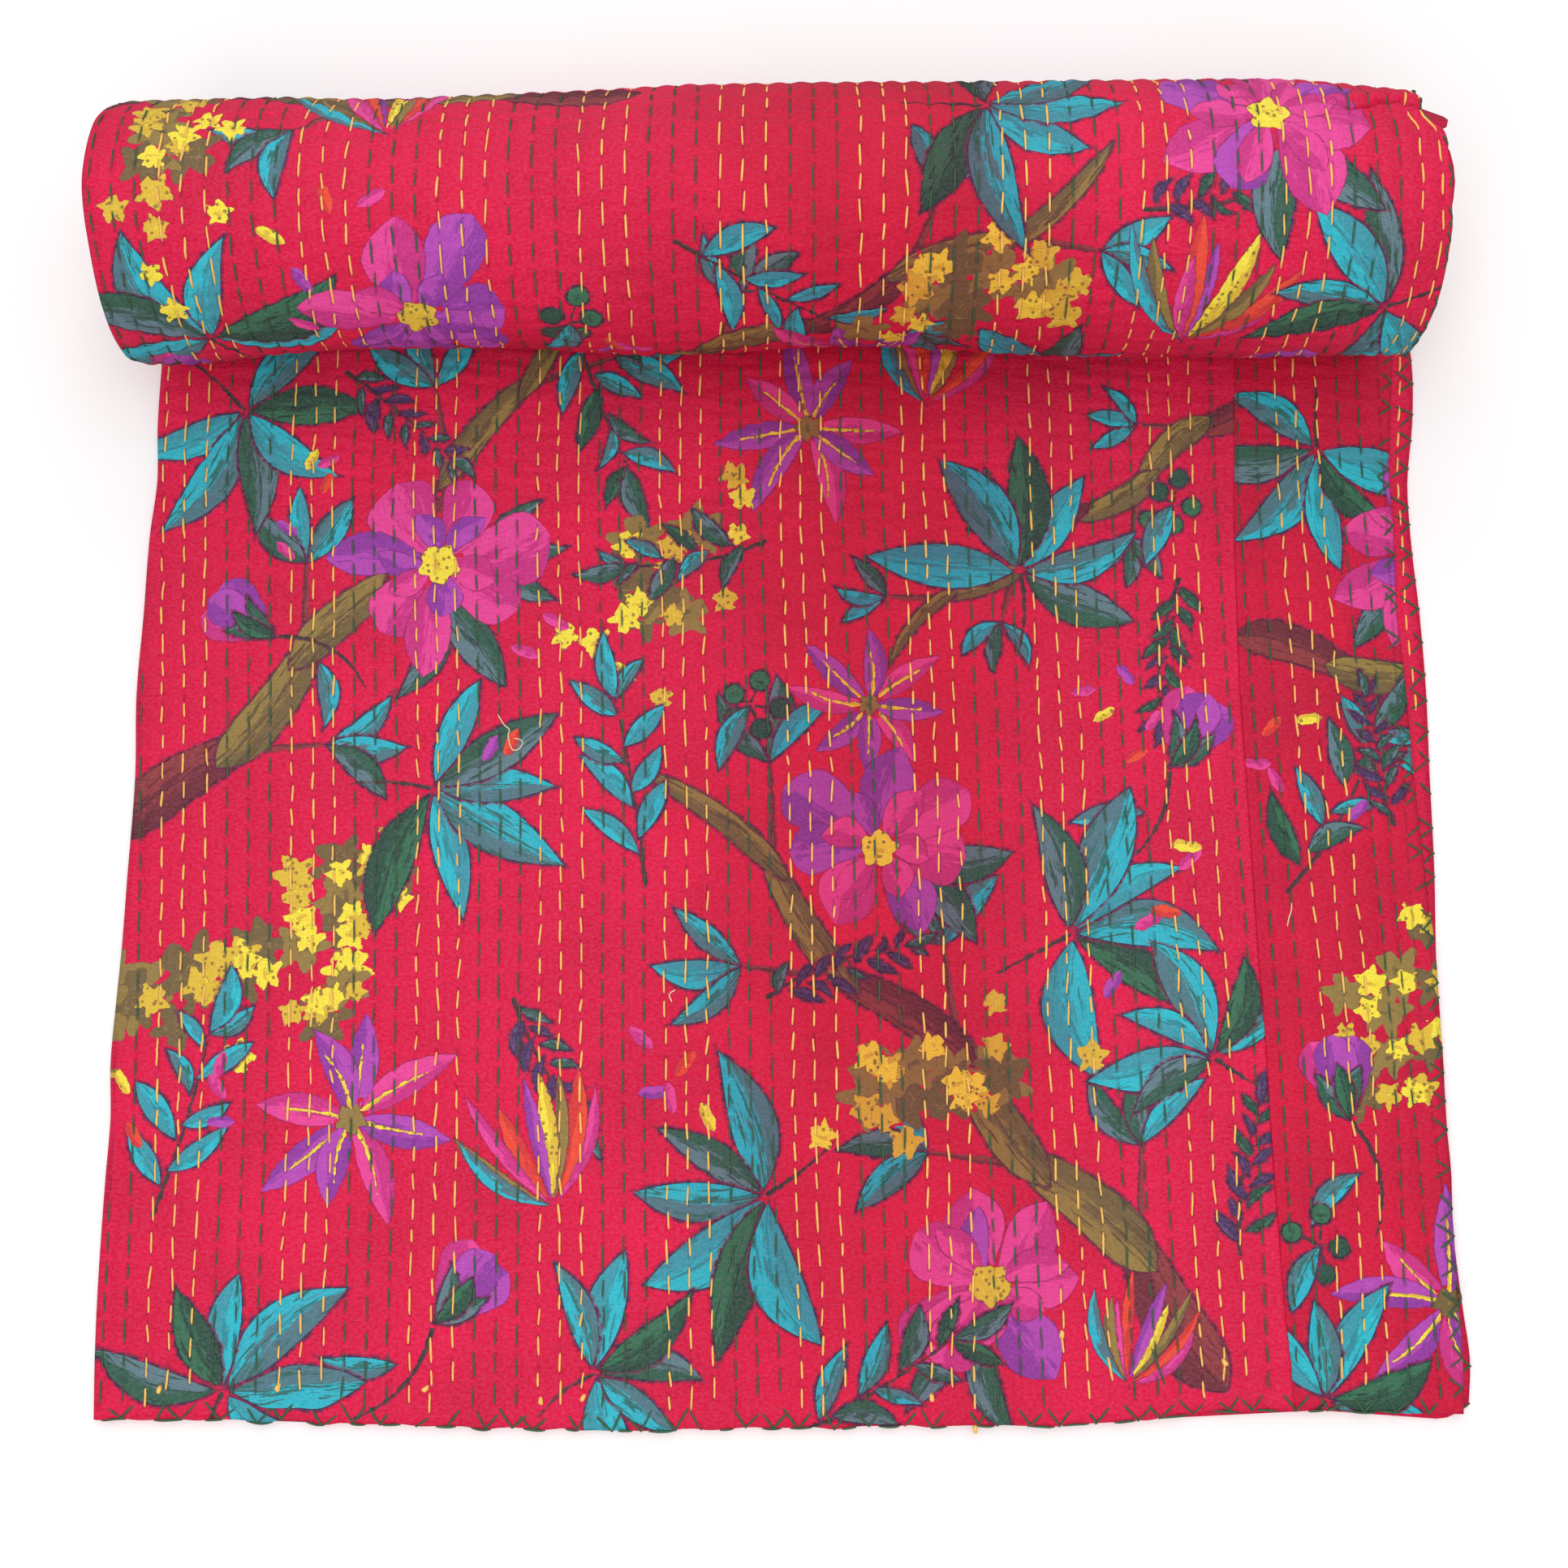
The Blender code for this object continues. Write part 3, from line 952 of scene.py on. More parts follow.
@dataclass
class Print:
    """The printed design: motifs at listed places, each a group of strokes.

    Each kind of motif has a method of its name, which takes the motif's place, its turn in
    radians and its size, and adds its strokes.
    """

    table: Sequence[tuple[Motif, float, float, float, float]]
    seed: int
    draw: np.random.Generator = field(init=False)
    strokes: list[Stroke] = field(default_factory=list)
    margin: float = 0.0032  # how far round a stroke its seeped dye reaches

    def __post_init__(self) -> None:
        """Lays the strokes of each motif of the table."""
        self.draw = np.random.default_rng(self.seed)
        for motif, across, along, turn, size in self.table:
            getattr(self, motif.value)(np.array([across, along]), np.radians(turn), size)

    def add(self, at: Array, turn: float, length: float, width: float, ink: Ink, **more: object) -> Array:
        """Adds a stroke and returns the place of its far end."""
        seed = (len(self.strokes) * 0.377) % 1.0
        self.strokes.append(Stroke(at[0], at[1], turn, length, width, ink, seed=seed, **more))
        return self.ahead(at, turn, length)

    @staticmethod
    def ahead(at: Array, turn: float, distance: float) -> Array:
        """The place at a distance in a direction."""
        return at + distance * np.array([np.cos(turn), np.sin(turn)])

    def leaf(self, at: Array, turn: float, length: float, ink: Ink) -> None:
        """A broad leaf that bends to one side."""
        width = length * self.draw.uniform(0.135, 0.19)
        bend, skew = self.draw.uniform(-0.14, 0.14) * length, self.draw.uniform(-0.35, 0.1)
        self.add(at, turn, length, width, ink, bend=bend, skew=skew)

    def fan(self, at: Array, turn: float, size: float) -> None:
        """Six leaves round the end of a short stem."""
        inks = self.draw.permutation([Ink.TURQUOISE, Ink.TEAL, Ink.TEAL, Ink.SLATE, Ink.GREEN, Ink.TURQUOISE])
        self.twig(at, turn + np.pi + 0.3, 0.034 * size)
        for i, ink in enumerate(inks):
            angle = turn + 0.66 * (i - 2.5) + self.draw.normal(0, 0.09)
            length = size * self.draw.uniform(0.044, 0.064)
            self.leaf(self.ahead(at, angle, 0.003), angle, length, Ink(ink))

    def twig(self, at: Array, turn: float, length: float) -> Array:
        """A thin dark stem, slightly bent."""
        bend = self.draw.uniform(-0.08, 0.08) * length
        return self.add(at, turn, length, 0.0013, Ink.STEM, bend=bend, shape=Shape.TWIG, ring=0.0)

    def paired(
        self, at: Array, turn: float, stem: float, leaf: float, count: int, inks: Sequence[Ink]
    ) -> None:
        """Pairs of leaves along a stem, and one at its tip."""
        tip = self.twig(at, turn, stem)
        for i in range(count):
            share = (i + 0.8) / count
            for side in (-1, 1):
                foot = self.ahead(at, turn, stem * (share - 0.04 * side))
                length = leaf * self.draw.uniform(0.75, 1.1) * (1.15 - 0.35 * share)
                self.leaf(foot, turn + side * self.draw.uniform(0.6, 0.95), length, self.draw.choice(inks))
        self.leaf(tip, turn, leaf, inks[0])

    def sprig(self, at: Array, turn: float, size: float) -> None:
        """A stem with four pairs of leaves."""
        bright, dull = [Ink.TURQUOISE, Ink.TEAL, Ink.TURQUOISE], [Ink.SLATE, Ink.GREEN, Ink.TEAL]
        inks = bright if self.draw.uniform() < 0.6 else dull
        self.paired(at, turn, 0.085 * size, 0.033 * size, 4, inks)

    def fern(self, at: Array, turn: float, size: float) -> None:
        """A fine stem with many small leaves."""
        inks = [Ink.SLATE, Ink.PLUM] if self.draw.uniform() < 0.5 else [Ink.PLUM, Ink.GREEN]
        self.paired(at, turn, 0.070 * size, 0.017 * size, 7, inks)

    def blossom(self, at: Array, turn: float, size: float) -> None:
        """Two rings of broad petals round a yellow eye, on two leaves."""
        foot = self.ahead(at, turn - 1.8, 0.02)
        for side in (-1, 1):
            self.leaf(foot, turn - 1.8 + 0.5 * side, 0.050 * size, Ink.SLATE)
        pair = (Ink.MAGENTA, Ink.PURPLE) if self.draw.uniform() < 0.7 else (Ink.PURPLE, Ink.MAGENTA)
        for ring, (count, reach, wide) in enumerate(((7, 0.046, 0.0118), (6, 0.028, 0.0066))):
            for i in range(count):
                angle = turn + 2 * np.pi * (i + 0.5 * ring) / count + self.draw.normal(0, 0.14)
                length = reach * size * self.draw.uniform(0.78, 1.18)
                ink = pair[0] if self.draw.uniform() < 0.8 else pair[1]
                blunt = Shape.PETAL if self.draw.uniform() < 0.55 and not ring else Shape.LEAF
                width = wide * size * self.draw.uniform(0.8, 1.2)
                self.add(self.ahead(at, angle, 0.003), angle, length, width, ink,
                         skew=0.5, shape=blunt, ring=0.0004, bend=self.draw.uniform(-0.006, 0.006))
        self.add(at, turn, 0.010 * size, 0.0085 * size, Ink.YELLOW, shape=Shape.BLOT, skew=0.12, ring=0.0003)

    def star(self, at: Array, turn: float, size: float) -> None:
        """Eight slender petals with a yellow line down each, round an eye."""
        for i in range(8):
            angle = turn + np.pi / 4 * i + self.draw.normal(0, 0.10)
            length = 0.050 * size * self.draw.uniform(0.8, 1.15)
            ink = Ink.PURPLE if i % 3 else Ink.MAGENTA
            bend = self.draw.uniform(-0.006, 0.006)
            self.add(at, angle, length, 0.0072 * size, ink, bend=bend, ring=0.0003)
            self.add(at, angle, length * 0.72, 0.0013, Ink.YELLOW,
                     bend=bend * 0.7, shape=Shape.TWIG, ring=0.0)
        self.add(at, turn, 0.008 * size, 0.0062 * size, Ink.OLIVE, shape=Shape.BLOT, skew=0.2, ring=0.0003)

    def bud(self, at: Array, turn: float, size: float) -> None:
        """A closed flower in its cup, on a bent stem."""
        self.add(at, turn + np.pi, 0.055 * size, 0.0015, Ink.STEM, bend=0.010, shape=Shape.TWIG, ring=0.0)
        for side, ink in ((-1, Ink.PURPLE), (1, Ink.MAGENTA), (0, Ink.PURPLE)):
            self.add(self.ahead(at, turn, 0.008), turn + 0.33 * side, 0.034 * size, 0.0095 * size, ink,
                     skew=0.3, shape=Shape.PETAL, ring=0.0004)
        for side in (-1, 1, 0):
            self.leaf(at, turn + 0.42 * side, 0.027 * size, Ink.SLATE if side else Ink.GREEN)
        self.leaf(self.ahead(at, turn + np.pi, 0.03), turn + 2.2, 0.036 * size, Ink.TEAL)

    def bough(self, at: Array, turn: float, size: float) -> None:
        """A knotted branch of six overlapping lengths, with leaves and small flowers on twigs."""
        side = 1
        for i in range(6):
            width = size * (0.0125 - 0.0014 * i)
            ink = Ink.OLIVE if i % 3 else Ink.BROWN
            foot = self.ahead(at, turn, 0.012)
            if i:
                tip = self.add(foot, turn + 0.9 * side, 0.050 * size, 0.0030, Ink.BROWN,
                               shape=Shape.TWIG, ring=0.0)
                for spread in (-0.6, 0.1, 0.8):
                    leaf_ink = self.draw.choice([Ink.TEAL, Ink.TURQUOISE, Ink.SLATE])
                    self.leaf(tip, turn + (0.9 + spread) * side, 0.042 * size, Ink(leaf_ink))
            self.add(at, turn, 0.088 * size, width, ink, bend=side * 0.006, skew=-0.25, shape=Shape.PETAL)
            at = self.ahead(at, turn, 0.062 * size)
            turn += side * self.draw.uniform(0.25, 0.5)
            side = -side

    def florets(self, at: Array, turn: float, size: float) -> None:
        """A loose heap of small yellow flowers over olive shade."""
        shade, flowers = (9, Ink.OLIVE, 0.0075, 0.0115, 0.9), (15, Ink.YELLOW, 0.0045, 0.0068, 1.15)
        for count, ink, low, high, spread in (shade, flowers):
            for _ in range(count):
                way, aside = self.draw.normal(0, (0.023, 0.011)) * size * spread
                place = self.ahead(self.ahead(at, turn, way), turn + np.pi / 2, aside)
                self.add(place, self.draw.uniform(0, 6), 0.01, self.draw.uniform(low, high) * size, ink,
                         shape=Shape.BLOT, skew=0.26, ring=0.0)

    def berries(self, at: Array, turn: float, size: float) -> None:
        """Five round berries on short stems."""
        for i in range(5):
            angle = turn + 1.26 * i + self.draw.normal(0, 0.2)
            reach = size * self.draw.uniform(0.009, 0.017)
            place = self.ahead(at, angle, reach)
            self.add(at, angle, reach, 0.0010, Ink.STEM, shape=Shape.TWIG, ring=0.0)
            self.add(place, angle, 0.01, 0.0056 * size, Ink.GREEN, shape=Shape.BLOT, ring=0.0008)
        self.leaf(at, turn - 2.0, 0.038 * size, Ink.TEAL)

    def plume(self, at: Array, turn: float, size: float) -> None:
        """A tuft of nine slim blades of many colours."""
        inks = [Ink.MAGENTA, Ink.ORANGE, Ink.OLIVE, Ink.YELLOW, Ink.PURPLE, Ink.ORANGE, Ink.MAGENTA]
        for i, ink in enumerate([*inks, Ink.OLIVE, Ink.TEAL]):
            angle = turn + 0.17 * (i - 4) + self.draw.normal(0, 0.05)
            length = size * self.draw.uniform(0.045, 0.070)
            self.add(at, angle, length, size * self.draw.uniform(0.0032, 0.0048), ink,
                     bend=(i - 4) * 0.0018, skew=0.3, ring=0.0003)

    def slivers(self, at: Array, turn: float, size: float) -> None:
        """A few fallen petals."""
        for ink in (Ink.MAGENTA, Ink.PURPLE, Ink.MAGENTA, Ink.ORANGE, Ink.YELLOW):
            place = at + self.draw.normal(0, 0.017, 2) * size
            self.add(place, self.draw.uniform(0, 6), 0.014 * size, 0.0026 * size, ink,
                     shape=Shape.PETAL, ring=0.0)

    def lay_on(self, piece: bpy.types.Object) -> None:
        """Stores the topmost strokes over each face as attributes of its corners.

        Each layer has the stroke's field at the corner, and the stroke's ink, seed and ring.

        Args:
            piece: The cloth, with its map of across and along.
        """
        mesh = piece.data
        at = np.empty(len(mesh.loops) * 2, dtype=np.float32)
        mesh.uv_layers["cloth"].data.foreach_get("uv", at)
        at = at.reshape(-1, 2).astype(float)
        first = np.empty(len(mesh.polygons), dtype=np.int32)
        total = np.empty(len(mesh.polygons), dtype=np.int32)
        mesh.polygons.foreach_get("loop_start", first)
        mesh.polygons.foreach_get("loop_total", total)
        centre = np.add.reduceat(at, first, axis=0) / total[:, None]
        place = np.zeros((PRINT_LAYERS, len(at), 3))
        place[..., 2] = -1
        ink = np.zeros((PRINT_LAYERS, len(at), 3))
        for stroke in self.strokes:
            across, along, reach = stroke.reach()
            near = np.flatnonzero(np.hypot(centre[:, 0] - across, centre[:, 1] - along) < reach)
            if not len(near):
                continue
            found = stroke.field(centre[near])
            near = near[found[:, 2] - np.abs(found[:, 1]) > -self.margin]
            corners = np.repeat(first[near], total[near])
            corners += np.arange(len(corners)) - np.repeat(np.cumsum(total[near]) - total[near], total[near])
            place[:-1, corners], ink[:-1, corners] = place[1:, corners], ink[1:, corners]
            place[-1, corners] = stroke.field(at[corners])
            ink[-1, corners] = (stroke.ink, stroke.seed, stroke.ring)
        for layer in range(PRINT_LAYERS):
            for name, values in ((f"stroke_{layer}", place[layer]), (f"ink_{layer}", ink[layer])):
                made = mesh.attributes.new(name, "FLOAT_VECTOR", "CORNER")
                made.data.foreach_set("vector", values.astype(np.float32).ravel())


# ---- meshes ----


def new_mesh(name: str, points: Array, faces: Iterable[Sequence[int]]) -> bpy.types.Object:
    """Makes a smooth-shaded mesh object in the scene's collection."""
    mesh = bpy.data.meshes.new(name)
    mesh.from_pydata(points.reshape(-1, 3).tolist(), [], list(faces))
    mesh.polygons.foreach_set("use_smooth", np.ones(len(mesh.polygons), dtype=bool))
    mesh.update()
    piece = bpy.data.objects.new(name, mesh)
    bpy.context.scene.collection.objects.link(piece)
    return piece


def add_map(piece: bpy.types.Object, title: str, values: Array) -> None:
    """Writes a map from one pair of numbers for each vertex."""
    layer = piece.data.uv_layers.new(name=title)
    corner = np.empty(len(piece.data.loops), dtype=np.int32)
    piece.data.loops.foreach_get("vertex_index", corner)
    layer.data.foreach_set("uv", values[corner].ravel())


def quads(ids: Array) -> Array:
    """Corner numbers of the quads of a grid of vertex numbers."""
    return np.stack([ids[:-1, :-1], ids[:-1, 1:], ids[1:, 1:], ids[1:, :-1]], axis=-1).reshape(-1, 4)


def rim(edge: Array, inner: Array, step: int) -> Array:
    """Polygons that join an edge of the outer face to the coarser edge of the inner face.

    Args:
        edge: Vertex numbers along the outer face's edge.
        inner: Those along the inner face's edge.
        step: How many outer steps lie beside one inner step.

    Returns:
        Corner numbers of one polygon for each inner step.
    """
    starts = np.arange(0, len(edge) - 1, step)
    along = edge[starts[:, None] + np.arange(step + 1)]
    return np.concatenate([along, inner[1:, None], inner[:-1, None]], axis=1)


@dataclass
class Shell:
    """A sheet of cloth with a thickness: a fine outer face, a coarse inner one and their rims.

    Both faces are grids of points, and the inner one has every `step`-th line of the outer.
    """

    name: str
    outer: Array
    inner: Array
    step: int
    cloth: Array
    quilted: Array
    shown: tuple[int, int]

    def build(self) -> bpy.types.Object:
        """Makes the mesh, with the cloth's own map, the map of its rows and the bake's map."""
        rows, columns = self.outer.shape[:2]
        ids = np.arange(rows * columns).reshape(rows, columns)
        low = rows * columns + np.arange(self.inner[..., 0].size).reshape(self.inner.shape[:2])
        step = self.step
        parts = [
            quads(ids),
            quads(low)[:, ::-1],
            rim(ids[0, ::-1], low[0, ::-1], step),
            rim(ids[-1], low[-1], step),
            rim(ids[:, 0], low[:, 0], step),
            rim(ids[::-1, -1], low[::-1, -1], step),
        ]
        points = np.concatenate([self.outer.reshape(-1, 3), self.inner.reshape(-1, 3)])
        faces = [face for part in parts for face in part.tolist()]
        piece = new_mesh(self.name, points, faces)
        for title, values in (("cloth", self.cloth), ("rows", self.quilted)):
            at = np.concatenate([values.reshape(-1, 2), values[::step, ::step].reshape(-1, 2)])
            add_map(piece, title, at)
        add_map(piece, "OFBake", self.bake_map(rows, columns))
        return piece

    def bake_map(self, rows: int, columns: int) -> Array:
        """Map with the face that shows over most of the image and the rest along its foot.

        Args:
            rows: Lines of the outer grid.
            columns: Its columns, of which `shown` has the first and last that show.

        Returns:
            Pairs for all vertices, the outer face's first.
        """
        first, last = self.shown
        v, u = np.meshgrid(np.linspace(0, 1, rows), np.linspace(0, 1, columns), indexing="ij")
        column = np.arange(columns)
        on_show = (column >= first) & (column <= last)
        shown_u = (column - first) / (last - first)
        outer_u = 0.004 + 0.992 * np.where(on_show, shown_u, u)
        outer = pairs(outer_u, np.where(on_show, 0.245 + 0.75 * v, 0.125 + 0.11 * v))
        inner = pairs(0.004 + 0.992 * u, 0.005 + 0.11 * v)[:: self.step, :: self.step]
        return np.concatenate([outer.reshape(-1, 2), inner.reshape(-1, 2)])


def section(legs: Array, height: float) -> tuple[Array, Array]:
    """Signed height over the fold's middle plane and inset of the bend, for each column.

    The lower leaf lies `height` under the plane and the upper leaf as much over it. The bend
    between them is a half circle of that radius.

    Args:
        legs: Two lines, the Leg and the share along it for each column.
        height: Distance of this face from the middle plane.

    Returns:
        The height of each column, and how far it lies beyond the bend's centre.
    """
    leg, share = legs
    turn = np.pi * share
    up = np.select([leg == Leg.LOWER, leg == Leg.BEND], [-height, -height * np.cos(turn)], height)
    beyond = np.where(leg == Leg.BEND, height * np.sin(turn), 0.0)
    return up, beyond


def column_legs(lower: Array, bend: int, upper: Array) -> Array:
    """Leg and share of each column: the lower leaf from its hem, the bend, the upper leaf.

    Args:
        lower: Shares of the lower leaf's columns.
        bend: How many columns the bend has.
        upper: Shares of the upper leaf's columns.

    Returns:
        Two lines, the Leg and the share of each column.
    """
    bends = np.linspace(0, 1, bend + 1)[:-1]
    leg = [Leg.LOWER] * len(lower) + [Leg.BEND] * bend + [Leg.UPPER] * len(upper)
    return np.array([leg, [*lower, *bends, *upper]], float)


# ---- the pieces of cloth ----


@dataclass
class WidePanel:
    """Wide printed panel of the loose end: lower leaf, left fold, and upper leaf to the seam."""

    name: str = "loose_end_wide_panel"
    lower_steps: int = 24
    strip_steps: int = 14
    strip_share: float = 0.028
    bend_steps: int = 8
    margin_steps: int = 20
    steps_per_row: int = 5
    first_row: int = 4
    row_steps: int = 264
    step: int = 4

    def build(self) -> bpy.types.Object:
        """Makes the panel on the folds of the loose end."""
        inside = 1 - self.strip_share
        strip = np.linspace(1, inside, self.strip_steps + 1)[:-1]
        lower = np.concatenate([strip, np.linspace(inside, 0, self.lower_steps + 1)[:-1]])
        margin = np.linspace(0, 1, self.margin_steps + 1)[:-1]
        last = SEAM_ROW - SEAM_STEPS[-1]
        count = round((last - self.first_row) * self.steps_per_row) + 1
        beside = SEAM_ROW - np.array([*SEAM_STEPS[-2::-1], 0.0])
        row = np.concatenate([np.linspace(self.first_row, last, count), beside])
        legs = column_legs(lower, self.bend_steps, np.concatenate([margin, row]))
        along = np.linspace(0, LOOSE_LENGTH, self.row_steps + 1)[:, None]
        first_upper = len(lower) + self.bend_steps

        bend_x = smooth(OUTLINE, 1, along) + FOLDED / 2
        first_x = row_across(np.float64(self.first_row), along)
        upper = np.concatenate([bend_x + margin * (first_x - bend_x), row_across(row[None], along)], axis=1)
        below = bend_x + lower * (smooth(OUTLINE, 4, along) - bend_x)
        at_bend = np.repeat(bend_x, self.bend_steps, axis=1)
        across = np.concatenate([below, at_bend, upper], axis=1)

        outer = self.face(legs, across, along, FOLDED / 2)
        outer[:, first_upper:] = LOOSE.upper_point(upper, along)
        inner = self.face(legs, across, along, LEAF_GAP / 2)[:: self.step, :: self.step]
        over = np.arange(0, across.shape[1], self.step) >= first_upper
        rise = LOOSE.swell(across[:: self.step, :: self.step], along[:: self.step])
        inner[..., 2] += np.where(over, rise, 0)
        # Laid open, the lower leaf carries on to the left of the fold.
        open_across = np.where(legs[0] == Leg.LOWER, 2 * FOLD_ACROSS - across, across)
        quilted = LOOSE_QUILTING.rows_map(row_of(across, along), along, legs[0] == Leg.UPPER)
        shown = (first_upper, across.shape[1] - 1)
        return Shell(self.name, outer, inner, self.step, pairs(open_across, along), quilted, shown).build()

    def face(self, legs: Array, across: Array, along: Array, height: float) -> Array:
        """Points of a plain face of the folded section, `height` from its middle plane.

        Args:
            legs: The Leg and the share of each column.
            across: Place across the cloth.
            along: Place along the cloth.
            height: Distance from the fold's middle plane.

        Returns:
            The points, a line for each place along.
        """
        up, beyond = section(legs, height)
        x = across - beyond
        z = np.broadcast_to(FOLDED / 2 + up, x.shape)
        forward = smooth(LOWER_HEM, 1, x) * np.exp(-along / 0.02) * (legs[0] == Leg.LOWER)
        return np.stack([x - CENTRE_X, LOOSE.y(x, along) - forward, z], axis=-1)


@dataclass
class NarrowPanel:
    """Narrow printed panel of the loose end's upper leaf, from the seam to the hem."""

    name: str = "loose_end_narrow_panel"
    steps_per_row: int = 5
    margin_steps: int = 6
    row_steps: int = 264
    step: int = 4

    def build(self) -> bpy.types.Object:
        """Makes the panel on the folds of the loose end."""
        first = SEAM_ROW + SEAM_STEPS[-1]
        count = round((LAST_ROW - first) * self.steps_per_row) + 1
        beside = SEAM_ROW + np.array([0.0, *SEAM_STEPS[:-1]])
        row = np.concatenate([beside, np.linspace(first, LAST_ROW, count)])
        along = np.linspace(0, LOOSE_LENGTH, self.row_steps + 1)[:, None]
        inside = row_across(row[None], along)
        hem = smooth(OUTLINE, 3, along)
        share = np.linspace(0, 1, self.margin_steps + 1)[1:] ** 0.8
        outside = inside[:, -1:] + share * (hem - inside[:, -1:])
        across = np.concatenate([inside, outside], axis=1)
        outer = LOOSE.upper_point(across, along)
        inner = outer[:: self.step, :: self.step].copy()
        inner[..., 2] = FOLDED - LEAF + LOOSE.swell(across, along)[:: self.step, :: self.step]
        quilted = LOOSE_QUILTING.rows_map(row_of(across, along), along)
        shown = (0, across.shape[1] - 1)
        return Shell(self.name, outer, inner, self.step, pairs(across, along), quilted, shown).build()


@dataclass
class OuterTurn:
    """The roll's outer turn, from the run under the roll to behind the line where it dips in."""

    name: str = "roll_outer_turn"
    steps_per_row: int = 5
    end_steps: int = 5
    bend_steps: int = 8
    inside_steps: int = 20
    stations: tuple[float, ...] = (-90.0 - RUN_ANGLE, 46.0, 70.0, 300.0)
    station_steps: tuple[int, ...] = (76, 40, 120)
    step: int = 4

    def build(self) -> bpy.types.Object:
        """Makes the turn: its outer leaf is the lower one of the loose end."""
        done = np.cumsum((0, *self.station_steps))
        angle = np.interp(np.arange(done[-1] + 1), done, self.stations)[:, None]
        count = ROLL_LAST_ROW * self.steps_per_row + 1
        rows = np.linspace(ROLL_LAST_ROW, 0, count)
        last, first = (ROLL_RIGHT - ROLL_ROW_ZERO) / ROLL_ROW_SPACING, ROLL_FOLD_ROW
        right = np.linspace(last, ROLL_LAST_ROW, self.end_steps + 1)[:-1]
        left = np.linspace(0, first, self.end_steps + 1)[1:-1]
        outside = np.concatenate([right, rows, left])
        share = 1 - np.linspace(1, 0, self.inside_steps + 1) ** 2
        legs = column_legs(outside, self.bend_steps, share)
        row = np.concatenate([outside, np.full(self.bend_steps, first), first + share * (last - first)])
        row = row + 0 * angle

        outer = self.face(legs, row, angle, FOLDED / 2)
        outer[:, : len(outside)] = ROLL.outer_point(outside, angle)
        inner = self.face(legs, row, angle, LEAF_GAP / 2)[:: self.step, :: self.step]
        way = (angle + 90) * DEGREE_LENGTH
        cloth = pairs(ROLL.across(row, angle), ROLL_PRINT_TOP - way)
        quilted = ROLL_QUILTING.rows_map(row, way, legs[0] == Leg.LOWER)
        return Shell(self.name, outer, inner, self.step, cloth, quilted, (0, len(outside) - 1)).build()

    def face(self, legs: Array, row: Array, angle: Array, height: float) -> Array:
        """Points of a plain face of the rolled section, `height` from its middle.

        Args:
            legs: The Leg and the share of each column.
            row: The row, with a fraction between two rows.
            angle: Angle round the roll.
            height: Distance from the middle of the two leaves.

        Returns:
            The points, a line for each angle.
        """
        up, beyond = section(legs, height)
        outside = legs[0] == Leg.LOWER
        across = np.where(outside, ROLL.across(row, angle), ROLL.across(row, angle, 2)) - beyond
        angle, up = np.broadcast_to(angle, across.shape), np.broadcast_to(up, across.shape)
        return ROLL.middle(across, angle) - ROLL.outwards(angle) * up[..., None]


@dataclass
class InnerTurns:
    """The roll's inner turns, which show at its two ends as folds and as pairs of hems."""

    name: str = "roll_inner_turns"
    insets: tuple[float, ...] = (0.0, 0.0008, 0.0024, 0.006, 0.012, 0.025, 0.06, 0.14)
    bend_steps: int = 8
    steps_per_turn: int = 44
    start_angle: float = OuterTurn.stations[-1]

    def build(self) -> bpy.types.Object:
        """Makes the turns: two leaves joined at the left by their fold."""
        end_angle = TURNS * 360 - 90
        steps = round((end_angle - self.start_angle) / 360 * self.steps_per_turn)
        angle = np.linspace(self.start_angle, end_angle, steps + 1)[:, None]
        width = ROLL_RIGHT - ROLL_LEFT - FOLDED / 2
        inset = np.array(self.insets) / width
        lower = 1 - np.concatenate([inset, 1 - inset[::-1]])
        legs = column_legs(lower, self.bend_steps, lower[::-1])
        share = np.where(legs[0] == Leg.BEND, 0.0, legs[1])
        row = ROLL_FOLD_ROW + share * width / ROLL_ROW_SPACING + 0 * angle
        turn = OuterTurn()
        outer = turn.face(legs, row, angle, FOLDED / 2)
        inner = turn.face(legs, row, angle, LEAF_GAP / 2)
        cloth = pairs(ROLL.across(row, angle), (angle + 90) * DEGREE_LENGTH)
        quilted = pairs(row, UNSEWN)
        return Shell(self.name, outer, inner, 1, cloth, quilted, (0, row.shape[1] - 1)).build()


# ---- threads ----

# Knots of yellow thread on the loose end.
# across, along, turn
KNOTS = (
    (-0.3459, 0.014, 75),
    (-0.2813, 0.016, 62),
    (-0.1996, 0.018, 50),
    (-0.1341, 0.013, 98),
    (-0.1121, 0.015, 66),
    (0.0821, 0.013, 100),
    (0.1045, 0.0002, -72),
    (0.1539, 0.046, 80),
    (0.2449, 0.024, 110),
)

# Loose threads that lie on the cloth, each a few places that it runs through.
LINT = (
    (
        (-0.1678, 0.3995),
        (-0.1640, 0.3935),
        (-0.1607, 0.3905),
        (-0.1612, 0.3855),
        (-0.1584, 0.3785),
        (-0.1540, 0.3800),
        (-0.1535, 0.3842),
        (-0.1580, 0.3855),
    ),
    ((0.2929, 0.2846), (0.2922, 0.2794), (0.2906, 0.2747), (0.2895, 0.2700)),
    ((-0.0640, 0.2330), (-0.0655, 0.2375), (-0.0622, 0.2400)),
)
LONG_STITCH = ((0.2028, 0.041), (0.2117, 0.014))
HEM_LOOP = ((0.3735, 0.072), (0.3762, 0.068), (0.3775, 0.063), (0.3760, 0.059), (0.3740, 0.061))

Place = Callable[[Array, Array, Array], Array]


